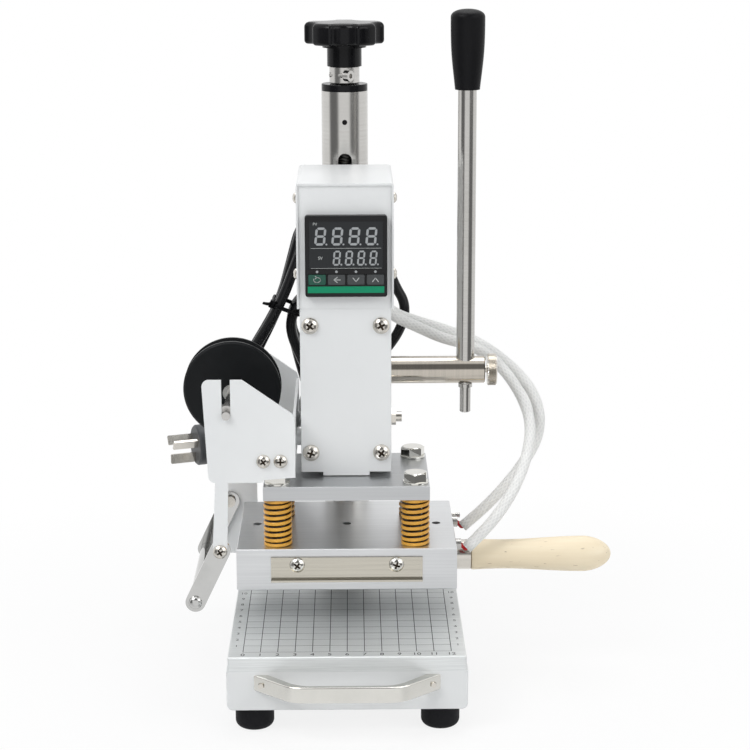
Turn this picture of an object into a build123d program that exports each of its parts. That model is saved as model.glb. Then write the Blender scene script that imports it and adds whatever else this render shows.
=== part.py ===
from build123d import *
from math import acos, atan2, cos, degrees, pi, radians, sin, sqrt, tan
import os

# Bench-top hot foil stamping press, in millimetres.
# Z is up from the bench, X runs to the operator's right and Y runs away from the operator.
# The ram's axis stands on the origin.

# Clearances
runFit = 0.05
slideGap = 0.1
looseGap = 0.3
seatGap = 0.05

# Feet and base
footRadius = 11.25
footHeight = 14.0
footX = 54.0
footFrontY = -80.0
footRearY = 112.0
panHalfWidth = 67.4
panWall = 1.5
panTop = 37.4
panFrontY = -91.0
panRearY = 126.0
deckFrontY = 56.0
tableTop = 47.0

# Worktable
plateThick = 9.0
plateOverhang = 1.1
plateHalfWidth = panHalfWidth + plateOverhang
plateFrontY = -94.3
plateRearY = 52.0
apronOverhang = 2.0
apronHalfWidth = panHalfWidth + apronOverhang
apronWall = 1.5
apronDepth = 11.0
apronBottom = footHeight + 0.5
railHeight = 10.0
railInset = 6.6
tongueHeight = 2.6
handleHalfLength = 53.5
handleHalfStraight = 25.0
handleReach = 20.0
handleHeight = 9.5
handleThick = 3.0
handleZ = 31.5
handleScrewRadius = 3.5

# Column and height screw
columnY = 92.0
columnRadius = 14.5
columnBore = 12.1
columnTop = 351.6
slotWidth = 8.6
slotTop = 313.6
slotBottom = 196.0
screwRadius = 6.0
capHeight = 4.3
plugLength = 24.0
collarRadius = 9.4
collarHeight = 10.5
hubRadius = 10.8
hubHeight = 11.6
knobFlangeRadius = 13.7
knobRadius = 25.0
knobHeight = 13.6
knobLobes = 5

# Head casting and its front cover
bodyHalfWidth = 27.0
upperTop = 131.2
headGap = 2.8
bodyBottom = upperTop + headGap
bodyTop = 234.0
bodyRearY = 48.0
coverFrontY = -14.5
coverThick = 2.0
neckHalfWidth = 17.0
sleeveRadius = 21.0
sleeveBottom = bodyBottom + 12.0
sleeveTop = bodyTop + 16.0
coverScrewX = bodyHalfWidth - 6.0
coverScrewZ = (bodyBottom + 11.9, bodyTop - 10.4)
coverScrewRadius = 5.0
nutHeight = 14.0
nutZ = 216.0
lockY = -1.0
lockZ = 164.5

# Control box and temperature controller
boxHalfWidth = 28.5
boxFrontY = -16.0
boxRearY = 68.0
boxHeight = 74.0
boxTop = bodyTop + boxHeight
boxWall = 1.2
bezelSize = 48.0
bezelX = 0.6
bezelZ = bodyTop + 31.8
bezelProud = 5.0
caseSize = 44.6
caseDepth = 60.0
keyTravel = 0.6
sideScrewRadius = 3.2
sideScrewZ = (bodyTop + 20.0, boxTop - 9.0)
switchX = -14.0
switchZ = boxTop - 24.0

# Ram, rack and pinion
ramHalfWidth = 13.5
ramTop = bodyTop - 8.0
gearModule = 1.5
pinionTeeth = 20
pressureAngle = radians(20)
gearBacklash = 0.16
pinionWidth = 14.0
rackTeeth = 9
stroke = 14.9

# Lever
shaftRadius = 8.4
shaftY = 29.0
shaftZ = 186.4
shaftRight = 85.2
rodX = 73.4
rodRadius = 5.6
stubRadius = 3.35
stubBottom = 159.7
gripBottom = 357.8
gripTop = 405.2
thumbRadius = 9.8
thumbThick = 5.8

# Upper plate, springs and heating block
upperHalfWidth = 49.3
upperHalfDepth = 37.0
upperThick = 8.5
blockHalfWidth = 65.5
blockFrontY = -40.0
blockRearY = 57.0
blockTop = 93.7
blockBottom = 77.3
boltX = 41.0
boltY = 28.5
boltRadius = 4.0
boltFlats = 13.0
boltHeadHeight = 5.3
springRadius = 8.5
springWire = 3.2
springWireHeight = 2.6
springCoils = 8.5
floatTravel = 3.0
heaterRadius = 3.3
heaterZ = 86.0
heaterRearY = 36.5
heaterFrontY = -8.0
heaterProud = 4.0
keeperHalfLength = 45.0
keeperThick = 1.2
keeperScrewX = 29.4
keeperScrewZ = 84.4
keeperScrewRadius = 4.5
probeY = 44.0
probeZ = 88.0

# Die plate and its wooden handle
dieBottom = 67.3
dieTop = 77.0
dieFrontY = -37.6
dieRearY = 54.6
dieHandleY = 8.0
dieHandleZ = 74.0
ferruleRadius = 9.15
ferruleLength = 10.6
dieHandleEnd = 163.0

# Foil holder
bracketFrontY = -38.2
bracketRearY = 69.0
bracketSheet = 1.5
webStand = 3.0
webX = -bodyHalfWidth - webStand
webBottom = 142.5
webTop = 172.0
flangeTop = 156.0
plateScrewX = (-48.7, -38.6)
plateScrewZ = 147.4
webScrewY = (-4.0, 38.0)
webScrewZ = 153.0
bracketScrewRadius = 4.1
spoolX = -70.0
spoolZ = 175.5
spoolShaftRadius = 2.5
discRadius = 30.0
discFrontY = 24.0
discThick = 15.0
pivotX = -75.1
pivotZ = 91.9
guideX = -90.6
guideZ = 59.7
linkWidth = 12.0
linkThick = 2.5
rollerRadius = 4.0

# Cords
mainsDiameter = 6.8
leadDiameter = 7.0
mainsExitX = 21.5
glandReach = 24.0
glandFlange = 4.0
mainsExitZ = bodyTop + 28.0
leadExitX = 21.5
hankX = -40.4
hankZ = 206.0
hankLayerY = 118.5
hankPitch = 7.4
hankLean = radians(24.5)
hankTurns = 4
hankTop = 49.0
hankFoot = 53.0
hankFold = 23.3
hankShift = 14.0
hankLoose = 2.2
hankWaist = 3.4
hankPinch = 6.2
hankIn = (75.0, -1.0)
plugFace = Vector(-101, 120, 114)
plugTurn = radians(20.0)
plugRadius = 13.5
plugBody = 17.0
plugRelief = 9.0
pinLength = 17.0

gaps = {}


def block(x0, x1, y0, y1, z0, z1):
    """A box between six planes."""
    size = (x1 - x0, y1 - y0, z1 - z0)
    return Pos((x0 + x1) / 2, (y0 + y1) / 2, (z0 + z1) / 2) * Box(*size)


def rod_x(radius, x0, x1, y, z):
    return Pos((x0 + x1) / 2, y, z) * Rot(0, 90, 0) * Cylinder(radius, x1 - x0)


def rod_y(radius, y0, y1, x, z):
    return Pos(x, (y0 + y1) / 2, z) * Rot(90, 0, 0) * Cylinder(radius, y1 - y0)


def rod_z(radius, z0, z1, x, y):
    return Pos(x, y, (z0 + z1) / 2) * Cylinder(radius, z1 - z0)


def both_sides(shape):
    """The shape and its mirror image across the middle plane."""
    return [shape, shape.mirror(Plane.YZ)]


def group(shapes):
    return Compound(children=[s for s in shapes])


def prism_y(face, y0, y1):
    """A face drawn in the XZ plane, made solid from y0 to y1."""
    plane = Plane(origin=(0, y1, 0), x_dir=(1, 0, 0), z_dir=(0, -1, 0))
    return extrude(plane * face, amount=y1 - y0)


def prism_x(face, x0, x1):
    """A face drawn in the YZ plane, made solid from x0 to x1."""
    plane = Plane(origin=(x0, 0, 0), x_dir=(0, 1, 0), z_dir=(1, 0, 0))
    return extrude(plane * face, amount=x1 - x0)


def pan_screw(radius, length):
    """A pan-head screw along Z, its head's seat at z = 0 and its shank below."""
    dome = 0.62 * radius
    with BuildPart() as screw:
        with BuildSketch(Plane.XZ):
            with BuildLine():
                Polyline((0.25 * radius, dome), (0, dome), (0, -length), (shank_radius(radius), -length),
                         (shank_radius(radius), 0), (radius, 0), (radius, 0.25 * dome))
                ThreePointArc((radius, 0.25 * dome), (0.72 * radius, 0.8 * dome), (0.25 * radius, dome))
            make_face()
        revolve(axis=Axis.Z)
    return screw.part


def shank_radius(radius):
    """A pan-head screw's shank, from its head's radius."""
    return 0.42 * radius


def screw_front(radius, length, x, y, z):
    """A pan-head screw whose head faces the operator, seated on the plane y."""
    return Pos(x, y, z) * Rot(90, 0, 0) * pan_screw(radius, length)


def rubber_feet():
    with BuildPart() as foot:
        with BuildSketch(Plane.XZ):
            with BuildLine():
                rise = 4.0
                inner = footRadius - rise
                Polyline((0, footHeight), (0, 0), (inner, 0))
                ThreePointArc((inner, 0), (inner + rise * sin(pi / 4), rise * (1 - cos(pi / 4))), (footRadius, rise))
                Polyline((footRadius, rise), (footRadius, footHeight), (0, footHeight))
            make_face()
        revolve(axis=Axis.Z)
    places = [(x, y) for x in (-footX, footX) for y in (footFrontY, footRearY)]
    return group([Pos(x, y, 0) * foot.part for x, y in places])


def base_pan():
    outer = block(-panHalfWidth, panHalfWidth, panFrontY, panRearY, footHeight, panTop)
    outer = fillet(outer.edges().filter_by(Axis.Z).group_by(Axis.Y)[-1], 3.0)
    inner = block(-panHalfWidth + panWall, panHalfWidth - panWall, panFrontY - 1, panRearY - panWall,
                  footHeight + panWall, panTop + 1)
    pan = outer - inner
    for rail in fixed_rails():
        pan += rail
    return pan


def rear_deck():
    deck = block(-panHalfWidth, panHalfWidth, deckFrontY, panRearY, panTop, tableTop)
    deck = fillet(deck.edges().filter_by(Axis.Z).group_by(Axis.Y)[-1], 3.0)
    return fillet(deck.edges().group_by(Axis.Z)[-1], 1.0)


def fixed_rails():
    """Two channels on the pan's walls, open inwards."""
    outerX = panHalfWidth - panWall
    innerX = outerX - railInset
    z0 = footHeight + panWall
    z1 = z0 + 4 + railHeight
    channel = block(innerX, outerX, panFrontY + 3, deckFrontY - 4, z0, z1)
    slot = block(innerX - 1, outerX - 2, panFrontY, deckFrontY, z1 - railHeight + 2, z1 - railHeight + 5.4)
    return both_sides(channel - slot)


def moving_rails():
    """Two bars under the table, each with a tongue in its channel."""
    innerX = panHalfWidth - panWall - railInset
    z1 = footHeight + panWall + 4 + railHeight
    tongueZ = z1 - railHeight + 2 + 0.4
    y0 = plateFrontY + apronDepth + looseGap
    bar = block(innerX - 6, innerX - looseGap, y0, plateRearY - 6, tongueZ - 2, tableTop - plateThick)
    tongue = block(innerX - 1, innerX + 4, y0, plateRearY - 6, tongueZ, tongueZ + tongueHeight)
    return group(both_sides(bar + tongue))


def table_plate():
    z0 = tableTop - plateThick
    plate = block(-plateHalfWidth, plateHalfWidth, plateFrontY, plateRearY, z0, tableTop)
    plate = chamfer(plate.edges().group_by(Axis.Z)[-1], 0.6)
    return fillet(plate.edges().filter_by(Axis.Z), 1.0)


def table_front():
    """The drawer front: a shallow pan with rounded lower corners."""
    top = tableTop - plateThick
    outer = block(-apronHalfWidth, apronHalfWidth, plateFrontY, plateFrontY + apronDepth, apronBottom, top)
    outer = fillet(outer.edges().filter_by(Axis.Y).group_by(Axis.Z)[0], 3.5)
    outer = fillet(outer.edges().filter_by(Axis.Z).group_by(Axis.Y)[0], 0.8)
    hollow = block(-apronHalfWidth + apronWall, apronHalfWidth - apronWall, plateFrontY + apronWall,
                   plateFrontY + apronDepth + 1, apronBottom - 1, top + 1)
    shelf = block(-panHalfWidth + 8, panHalfWidth - 8, plateFrontY + apronWall, plateFrontY + apronDepth,
                  top - 2, top)
    return outer - hollow + shelf - handle_holes()


def handle_holes():
    """Holes for the two screws that come through the drawer front into the handle."""
    x = handleHalfLength - 4
    hole = rod_y(shank_radius(handleScrewRadius), plateFrontY - 5.5, plateFrontY + apronWall + 1, x, handleZ)
    return group(both_sides(hole))


def pull_handle():
    """A bowed strap, cut from one bar, whose ends stand on the drawer front."""
    y0 = plateFrontY
    with BuildPart() as bow:
        with BuildSketch(Plane.XY.offset(handleZ - handleHeight / 2)):
            with BuildLine():
                outer = [(-handleHalfLength, y0), (-handleHalfStraight - 6, y0 - handleReach)]
                outer += [(-x, y) for x, y in reversed(outer)]
                backY = y0 - handleReach + handleThick
                inner = [(handleHalfLength - 8, y0), (handleHalfStraight + 3, backY)]
                inner += [(-x, y) for x, y in reversed(inner)]
                Polyline(*outer, *inner, close=True)
            make_face()
            bends = [v for v in vertices() if v.Y < y0 - 1]
            fillet([v for v in bends], 18.0)
        extrude(amount=handleHeight)
    strap = fillet(bow.part.edges().filter_by(GeomType.LINE).filter_by(Axis.X).group_by(Axis.Y)[0], 0.8)
    return strap - handle_holes()


def handle_screws():
    x = handleHalfLength - 4
    screw = Pos(x, plateFrontY + apronWall, handleZ) * Rot(-90, 0, 0) * pan_screw(handleScrewRadius, 7)
    return group(both_sides(screw))


def column_flange():
    """The foot of the column: a round flange and a boss, turned in one piece."""
    top = tableTop + 24
    with BuildPart() as flange:
        with BuildSketch(Plane.XZ):
            with BuildLine():
                Polyline((columnRadius, tableTop), (27, tableTop), (27, tableTop + 7), (20.2, tableTop + 7),
                         (19.2, tableTop + 8), (19.2, top - 1), (18.2, top), (columnRadius, top),
                         (columnRadius, tableTop))
            make_face()
        revolve(axis=Axis.Z)
    holes = [rod_z(2.5, tableTop - 1, tableTop + 9, x, y) for x, y in flange_points()]
    return Pos(0, columnY, 0) * (flange.part - [Pos(0, -columnY, 0) * h for h in holes])


def flange_points():
    reach = 23.5 * sin(pi / 4)
    return [(sx * reach, columnY + sy * reach) for sx in (-1, 1) for sy in (-1, 1)]


def base_screws():
    """Socket screws that hold the column's flange on the deck."""
    screws = []
    for x, y in flange_points():
        head = rod_z(3.0, tableTop + 7.0, tableTop + 10.2, x, y)
        shank = rod_z(2.5, tableTop, tableTop + 7.0, x, y)
        hexHole = Pos(x, y, tableTop + 10.2) * extrude(RegularPolygon(1.7, 6), amount=-2)
        screws.append(head + shank - hexHole)
    return group(screws)


def column_tube():
    tube = rod_z(columnRadius, tableTop, columnTop, 0, columnY)
    tube -= rod_z(columnBore, tableTop - 1, columnTop + 1, 0, columnY)
    slotRadius = slotWidth / 2
    frontY = columnY - columnRadius - 2
    slot = block(-slotRadius, slotRadius, frontY, columnY - 2, slotBottom, slotTop - slotRadius)
    slot += rod_y(slotRadius, frontY, columnY - 2, 0, slotTop - slotRadius)
    slot += rod_y(slotRadius, frontY, columnY - 2, 0, slotBottom)
    screwHole = rod_y(1.6, frontY, columnY - columnBore + 1, 0, 333.0)
    return tube - slot - screwHole


def column_cap():
    """The washer on top of the column, with the bush that carries the height screw."""
    flange = rod_z(columnRadius - 0.1, columnTop, columnTop + capHeight, 0, columnY)
    flange = fillet(flange.edges().group_by(Axis.Z)[-1], 0.5)
    bush = rod_z(columnBore, columnTop - plugLength, columnTop, 0, columnY)
    hole = rod_z(screwRadius + runFit, columnTop - plugLength - 1, columnTop + capHeight + 1, 0, columnY)
    return flange + bush - hole


def lead_screw():
    top = columnTop + capHeight + looseGap + collarHeight + hubHeight
    z0 = nutZ - 24
    screw = rod_z(screwRadius, z0, top, 0, columnY)
    shoulderTop = columnTop - plugLength - looseGap
    shoulder = rod_z(columnBore - 1.0, shoulderTop - 5, shoulderTop, 0, columnY)
    return screw + shoulder


def adjust_collar():
    """The split collar that is clamped on the height screw, with its cross screw."""
    z0 = columnTop + capHeight + looseGap
    collar = rod_z(collarRadius, z0, z0 + collarHeight, 0, columnY)
    collar = fillet(collar.edges().filter_by(GeomType.CIRCLE), 0.6)
    collar -= rod_z(screwRadius, z0 - 1, z0 + collarHeight + 1, 0, columnY)
    turn = Pos(0, columnY, z0 + collarHeight / 2) * Rot(0, 0, -38) * Pos(0, -7.7, 0)
    collar -= turn * Rot(0, 90, 0) * Cylinder(1.5, 40)
    shank = turn * Pos(1.0, 0, 0) * Rot(0, 90, 0) * Cylinder(1.5, 12)
    head = turn * Pos(9.0, 0, 0) * Rot(0, 90, 0) * Cylinder(3.4, 4)
    socket = turn * Pos(11.0, 0, 0) * Rot(0, 90, 0) * extrude(RegularPolygon(1.7, 6), amount=-2.2, both=True)
    return group([collar - head, shank + head - socket])


def star_knob():
    """A moulded knob: hub, flange and a head with finger scallops between its lobes."""
    z0 = columnTop + capHeight + looseGap + collarHeight
    hubTop = z0 + hubHeight
    flangeTop = hubTop + 2.0
    knobTop = flangeTop + knobHeight
    hub = rod_z(hubRadius, z0, hubTop, 0, 0)
    flange = rod_z(knobFlangeRadius, hubTop, flangeTop, 0, 0)
    head = rod_z(knobRadius, flangeTop, knobTop, 0, 0)
    scallop = rod_z(10.5, flangeTop - 1, knobTop + 1, 0, 0)
    step = 360 / knobLobes
    for k in range(knobLobes):
        head -= Rot(0, 0, 90 + step / 2 + k * step) * Pos(knobRadius + 5.2, 0, 0) * scallop
    head = fillet(head.edges().filter_by(Axis.Z), 2.5)
    head = fillet(head.edges().group_by(Axis.Z)[-1], 3.2)
    head = fillet(head.edges().group_by(Axis.Z)[0], 2.4)
    knob = hub + flange + head
    knob -= rod_z(screwRadius, z0 - 1, z0 + hubHeight, 0, 0)
    return Pos(0, columnY, 0) * knob


def head_casting():
    """The white casting: ram guide, neck and the sleeve that rides on the column."""
    backOfCover = coverFrontY + coverThick
    body = block(-bodyHalfWidth, bodyHalfWidth, backOfCover, bodyRearY, bodyBottom, bodyTop)
    body = fillet(body.edges().filter_by(Axis.Z).group_by(Axis.Y)[-1], 3.0)
    neck = block(-neckHalfWidth, neckHalfWidth, bodyRearY - 5, columnY, sleeveBottom, bodyTop - 1)
    sleeve = rod_z(sleeveRadius, sleeveBottom, sleeveTop, 0, columnY)
    sleeve = fillet(sleeve.edges().filter_by(GeomType.CIRCLE), 1.5)
    casting = body + neck + sleeve
    casting -= rod_z(columnRadius + runFit, sleeveBottom - 1, sleeveTop + 1, 0, columnY)
    keyHalf = slotWidth / 2 - 0.2
    casting -= block(-keyHalf, keyHalf, columnY - columnRadius - 4, columnY - columnRadius + 3,
                     nutZ, nutZ + nutHeight)
    guideBack = shaftY - pinion_pitch() + gearModule + slideGap
    casting -= block(-ramHalfWidth - slideGap, ramHalfWidth + slideGap, backOfCover - 1, guideBack,
                     bodyBottom - 1, bodyTop - 1.5)
    pocket = pinionWidth / 2 + looseGap
    casting -= rod_x(pinion_tip() + 0.7, -pocket, pocket, shaftY, shaftZ)
    casting -= rod_x(shaftRadius + 2.5, -bodyHalfWidth + 5, bodyHalfWidth + 1, shaftY, shaftZ)
    for x, y, z in cover_points():
        casting -= rod_y(shank_radius(coverScrewRadius), y - 1, y + 12, x, z)
    casting -= rod_x(3.0, bodyHalfWidth - 15, bodyHalfWidth + 1, lockY, lockZ)
    return casting


def cover_points():
    """Seats of the four screws in the front cover."""
    y = coverFrontY + coverThick
    return [(sx * coverScrewX, y, z) for sx in (-1, 1) for z in coverScrewZ]


def front_cover():
    cover = block(-bodyHalfWidth, bodyHalfWidth, coverFrontY, coverFrontY + coverThick, bodyBottom, bodyTop)
    tab = block(-14, 14, coverFrontY, coverFrontY + coverThick, upperTop + 0.6, bodyBottom + 1)
    for x, y, z in cover_points():
        cover -= rod_y(shank_radius(coverScrewRadius), coverFrontY - 1, coverFrontY + coverThick + 1, x, z)
    cover += tab
    return fillet(cover.edges().filter_by(Axis.Z).group_by(Axis.Y)[0], 0.6)


def shaft_bushes():
    """Bronze bushes in the two cheeks of the casting."""
    bushes = []
    spans = [(-bodyHalfWidth + 5, -pinionWidth / 2 - looseGap), (pinionWidth / 2 + looseGap, bodyHalfWidth)]
    for x0, x1 in spans:
        bush = rod_x(shaftRadius + 2.5, x0, x1, shaftY, shaftZ)
        bushes.append(bush - rod_x(shaftRadius + runFit, x0 - 1, x1 + 1, shaftY, shaftZ))
    guideBack = shaftY - pinion_pitch() + gearModule + slideGap
    clear = block(-bodyHalfWidth, bodyHalfWidth, -20, guideBack + 0.05, bodyBottom, bodyTop)
    return group([b - clear for b in bushes])


def lift_nut():
    """The bronze nut inside the column, with the key that carries the head."""
    nut = rod_z(columnBore - 0.2, nutZ, nutZ + nutHeight, 0, columnY)
    keyHalf = slotWidth / 2 - 0.2
    key = block(-keyHalf, keyHalf, columnY - columnRadius - 4, columnY, nutZ, nutZ + nutHeight)
    return nut + key - rod_z(screwRadius + 0.1, nutZ - 1, nutZ + nutHeight + 1, 0, columnY)


def ram_lock_screw():
    """The screw in the right cheek that drags on the ram, with its lock nut."""
    x0 = ramHalfWidth + slideGap + 0.4
    shank = rod_x(3.0, x0, bodyHalfWidth + 6.5, lockY, lockZ)
    nut = Pos(bodyHalfWidth, lockY, lockZ) * Rot(0, 90, 0) * extrude(RegularPolygon(5.2, 6), amount=3)
    socket = Pos(bodyHalfWidth + 6.5, lockY, lockZ) * Rot(0, 90, 0) * extrude(RegularPolygon(1.7, 6), amount=-3)
    return shank + nut - socket


def control_box():
    """A folded sheet cover: two sides, top and back, open at the front and below."""
    outer = block(-boxHalfWidth, boxHalfWidth, boxFrontY, boxRearY, bodyTop, boxTop)
    outer = fillet(outer.edges().filter_by(Axis.Y).group_by(Axis.Z)[-1], 1.8)
    w = boxWall
    inner = block(-boxHalfWidth + w, boxHalfWidth - w, boxFrontY - 1, boxRearY - w, bodyTop - 1, boxTop - w)
    shell = outer - inner
    floor = block(-boxHalfWidth + w, boxHalfWidth - w, bodyRearY, boxRearY - w, bodyTop, bodyTop + w)
    shell += floor
    shell -= rod_y(mains_gland() - 1.6, boxRearY - 3, boxRearY + 1, mainsExitX, mainsExitZ)
    shell -= block(switchX - 6.5, switchX + 6.5, boxRearY - 3, boxRearY + 1, switchZ - 9.5, switchZ + 9.5)
    for y in lead_exits():
        shell -= rod_z(grommet_radius() + runFit, bodyTop - 1, bodyTop + 3, leadExitX, y)
    return shell - box_screw_holes()


def box_screw_holes():
    """Holes for the side screws, through the cover and the panel's flanges."""
    y = boxFrontY + 6
    radius = shank_radius(sideScrewRadius)
    return group([rod_x(radius, -boxHalfWidth - 1, boxHalfWidth + 1, y, z) for z in sideScrewZ])


def mains_gland():
    return 6.5


def grommet_radius():
    return leadDiameter / 2 + 0.9


def lead_exits():
    """Places along Y where the two heater leads leave the floor of the box."""
    return [52.7, 62.1]


def control_panel():
    """The recessed front panel with the controller's square opening."""
    w = boxWall + 0.1
    y0 = boxFrontY + 1.0
    panel = block(-boxHalfWidth + w, boxHalfWidth - w, y0, y0 + 1.5, bodyTop + 0.1, boxTop - w)
    half = caseSize / 2 + 0.2
    panel -= block(bezelX - half, bezelX + half, y0 - 1, y0 + 3, bezelZ - half, bezelZ + half)
    flange = block(-boxHalfWidth + w, -boxHalfWidth + w + 1.2, y0 + 1.5, y0 + 10, bodyTop + 0.1, boxTop - w)
    return panel + flange + flange.mirror(Plane.YZ) - box_screw_holes()


def power_switch():
    """The rocker in the back of the box."""
    body = block(switchX - 6.4, switchX + 6.4, boxRearY - 8, boxRearY, switchZ - 9.4, switchZ + 9.4)
    rim = block(switchX - 7.5, switchX + 7.5, boxRearY, boxRearY + 1.5, switchZ - 10.5, switchZ + 10.5)
    well = block(switchX - 5.2, switchX + 5.2, boxRearY - 6, boxRearY + 2, switchZ - 8.0, switchZ + 8.0)
    return body + rim - well


def power_rocker():
    y0 = boxRearY - 3.0
    with BuildPart() as rocker:
        with BuildSketch(Plane.YZ):
            with BuildLine():
                Polyline((y0, switchZ - 7.2), (boxRearY + 3.4, switchZ - 7.2), (boxRearY + 1.6, switchZ),
                         (boxRearY + 3.4, switchZ + 7.2), (y0, switchZ + 7.2), (y0, switchZ - 7.2))
            make_face()
        extrude(amount=4.9, both=True)
    pivot = rod_x(1.2, switchX - 5.1, switchX + 5.1, boxRearY - 2.0, switchZ)
    return Pos(switchX, 0, 0) * rocker.part + pivot


def controller_body():
    """The 48 mm temperature controller: bezel with a window recess, and its case."""
    y0 = boxFrontY + 1.0
    half = bezelSize / 2
    bezel = block(bezelX - half, bezelX + half, y0 - bezelProud, y0, bezelZ - half, bezelZ + half)
    bezel = fillet(bezel.edges().filter_by(Axis.Y), 1.5)
    bezel = fillet(bezel.edges().group_by(Axis.Y)[0], 0.8)
    x0, x1, z0, z1 = window_edges()
    bezel -= block(x0 - 0.1, x1 + 0.1, y0 - bezelProud - 1, y0 - bezelProud + 1.4, z0 - 0.1, z1 + 0.1)
    for k in range(4):
        kx0, kx1, kz0, kz1 = key_edges(k)
        bezel -= block(kx0 - 0.2, kx1 + 0.2, y0 - bezelProud - 1, y0 - bezelProud + 3.2, kz0 - 0.2, kz1 + 0.2)
    half = caseSize / 2
    case = block(bezelX - half, bezelX + half, y0, y0 + caseDepth, bezelZ - half, bezelZ + half)
    return bezel + case


def window_edges():
    left = bezelX - bezelSize / 2
    top = bezelZ + bezelSize / 2
    return left + 2.4, left + bezelSize - 2.4, top - 31.2, top - 3.2


def key_edges(index):
    """Left, right, lower and upper edges of one key."""
    left = bezelX - bezelSize / 2 + 1.9 + index * 11.35
    top = bezelZ + bezelSize / 2 - 34.6
    return left, left + 10.2, top - 6.0, top


def display_window():
    x0, x1, z0, z1 = window_edges()
    y = boxFrontY + 1.0 - bezelProud
    return block(x0, x1, y + 0.3, y + 1.4, z0, z1)


def controller_key(index):
    x0, x1, z0, z1 = key_edges(index)
    y = boxFrontY + 1.0 - bezelProud
    key = block(x0, x1, y - keyTravel - 0.2, y + 2.2, z0, z1)
    key = fillet(key.edges().filter_by(Axis.Y), 0.8)
    return fillet(key.edges().group_by(Axis.Y)[0], 0.3)


def cord_glands():
    """The mains gland behind the box, and the grommet of each heater lead below it."""
    outer = mains_gland()
    hold = mainsDiameter / 2
    gland = rod_y(outer, boxRearY, boxRearY + glandFlange, mainsExitX, mainsExitZ)
    taper = Pos(0, 0, (glandReach - glandFlange) / 2) * Cone(outer - 1.2, hold + 0.7, glandReach - glandFlange)
    gland += Pos(mainsExitX, boxRearY + glandFlange, mainsExitZ) * Rot(-90, 0, 0) * taper
    gland += rod_y(outer - 1.7, boxRearY - 3, boxRearY, mainsExitX, mainsExitZ)
    pieces = [gland]
    for y in lead_exits():
        ring = rod_z(grommet_radius(), bodyTop - 1.4, bodyTop + 2.6, leadExitX, y)
        pieces.append(ring - rod_z(leadDiameter / 2, bodyTop - 2, bodyTop, leadExitX, y))
    return group(pieces)


def pinion_pitch():
    return gearModule * pinionTeeth / 2


def pinion_tip():
    return pinion_pitch() + gearModule


def ram_bar():
    """The square ram, with rack teeth across its back."""
    back = shaftY - pinion_pitch() + gearModule
    front = coverFrontY + coverThick + slideGap
    bar = block(-ramHalfWidth, ramHalfWidth, front, back, upperTop, ramTop)
    pitch = pi * gearModule
    depth = 2.25 * gearModule
    gapAtPitch = pitch / 2 + gearBacklash / 2
    mouth = gapAtPitch / 2 + gearModule * tan(pressureAngle)
    root = gapAtPitch / 2 - 1.25 * gearModule * tan(pressureAngle)
    middle = shaftZ + stroke / 2
    start = shaftZ + pitch / 2 - pitch * int((rackTeeth - 1) / 2)
    for k in range(rackTeeth + 2):
        z = start + k * pitch
        if abs(z - middle) > (rackTeeth + 1) * pitch / 2:
            continue
        with BuildSketch() as groove:
            with BuildLine():
                Polyline((back + 0.5, z - mouth - 0.5 * tan(pressureAngle)), (back - depth, z - root),
                         (back - depth, z + root), (back + 0.5, z + mouth + 0.5 * tan(pressureAngle)), close=True)
            make_face()
        bar -= prism_x(groove.sketch, -ramHalfWidth - 1, ramHalfWidth + 1)
    return bar


def pinion():
    """An involute pinion in mesh with the rack, a tooth space facing the rack."""
    pitchR = pinion_pitch()
    baseR = pitchR * cos(pressureAngle)
    tipR = pinion_tip()
    rootR = pitchR - 1.25 * gearModule
    halfTooth = (pi * gearModule / 2 - gearBacklash / 2) / (2 * pitchR)

    def half_angle(radius):
        a = acos(min(1.0, baseR / radius))
        return halfTooth + (tan(pressureAngle) - pressureAngle) - (tan(a) - a)

    def at(radius, angle):
        return (radius * cos(angle), radius * sin(angle))

    step = 2 * pi / pinionTeeth
    with BuildSketch() as gear:
        with BuildLine():
            for k in range(pinionTeeth):
                mid = pi + step / 2 + k * step
                b, p, t = half_angle(baseR), half_angle(pitchR), half_angle(tipR)
                Line(at(rootR, mid - b), at(baseR, mid - b))
                ThreePointArc(at(baseR, mid - b), at(pitchR, mid - p), at(tipR, mid - t))
                Line(at(tipR, mid - t), at(tipR, mid + t))
                ThreePointArc(at(tipR, mid + t), at(pitchR, mid + p), at(baseR, mid + b))
                Line(at(baseR, mid + b), at(rootR, mid + b))
                Line(at(rootR, mid + b), at(rootR, mid + step - b))
        make_face()
        Circle(shaftRadius, mode=Mode.SUBTRACT)
    wheel = prism_x(gear.sketch, -pinionWidth / 2, pinionWidth / 2)
    return Pos(0, shaftY, shaftZ) * wheel


def lever_shaft():
    shaft = rod_x(shaftRadius, -bodyHalfWidth + 6, shaftRight, shaftY, shaftZ)
    shaft = chamfer(shaft.edges().filter_by(GeomType.CIRCLE).group_by(Axis.X)[-1], 0.5)
    shaft -= rod_z(rodRadius, shaftZ - 1, shaftZ + 20, rodX, shaftY)
    shaft -= rod_z(stubRadius, shaftZ - 20, shaftZ, rodX, shaftY)
    return shaft - rod_x(2.0 + runFit, rodX + rodRadius, shaftRight + 1, shaftY, shaftZ)


def lever_rod():
    rod = rod_z(rodRadius, shaftZ - 1, gripBottom + 22, rodX, shaftY)
    stub = rod_z(stubRadius, stubBottom, shaftZ - 1, rodX, shaftY)
    stub = chamfer(stub.edges().filter_by(GeomType.CIRCLE).group_by(Axis.Z)[0], 0.5)
    ring = rod_z(4.3, shaftZ - shaftRadius - 2.4, shaftZ - shaftRadius - 0.2, rodX, shaftY)
    return rod + stub + ring


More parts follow.
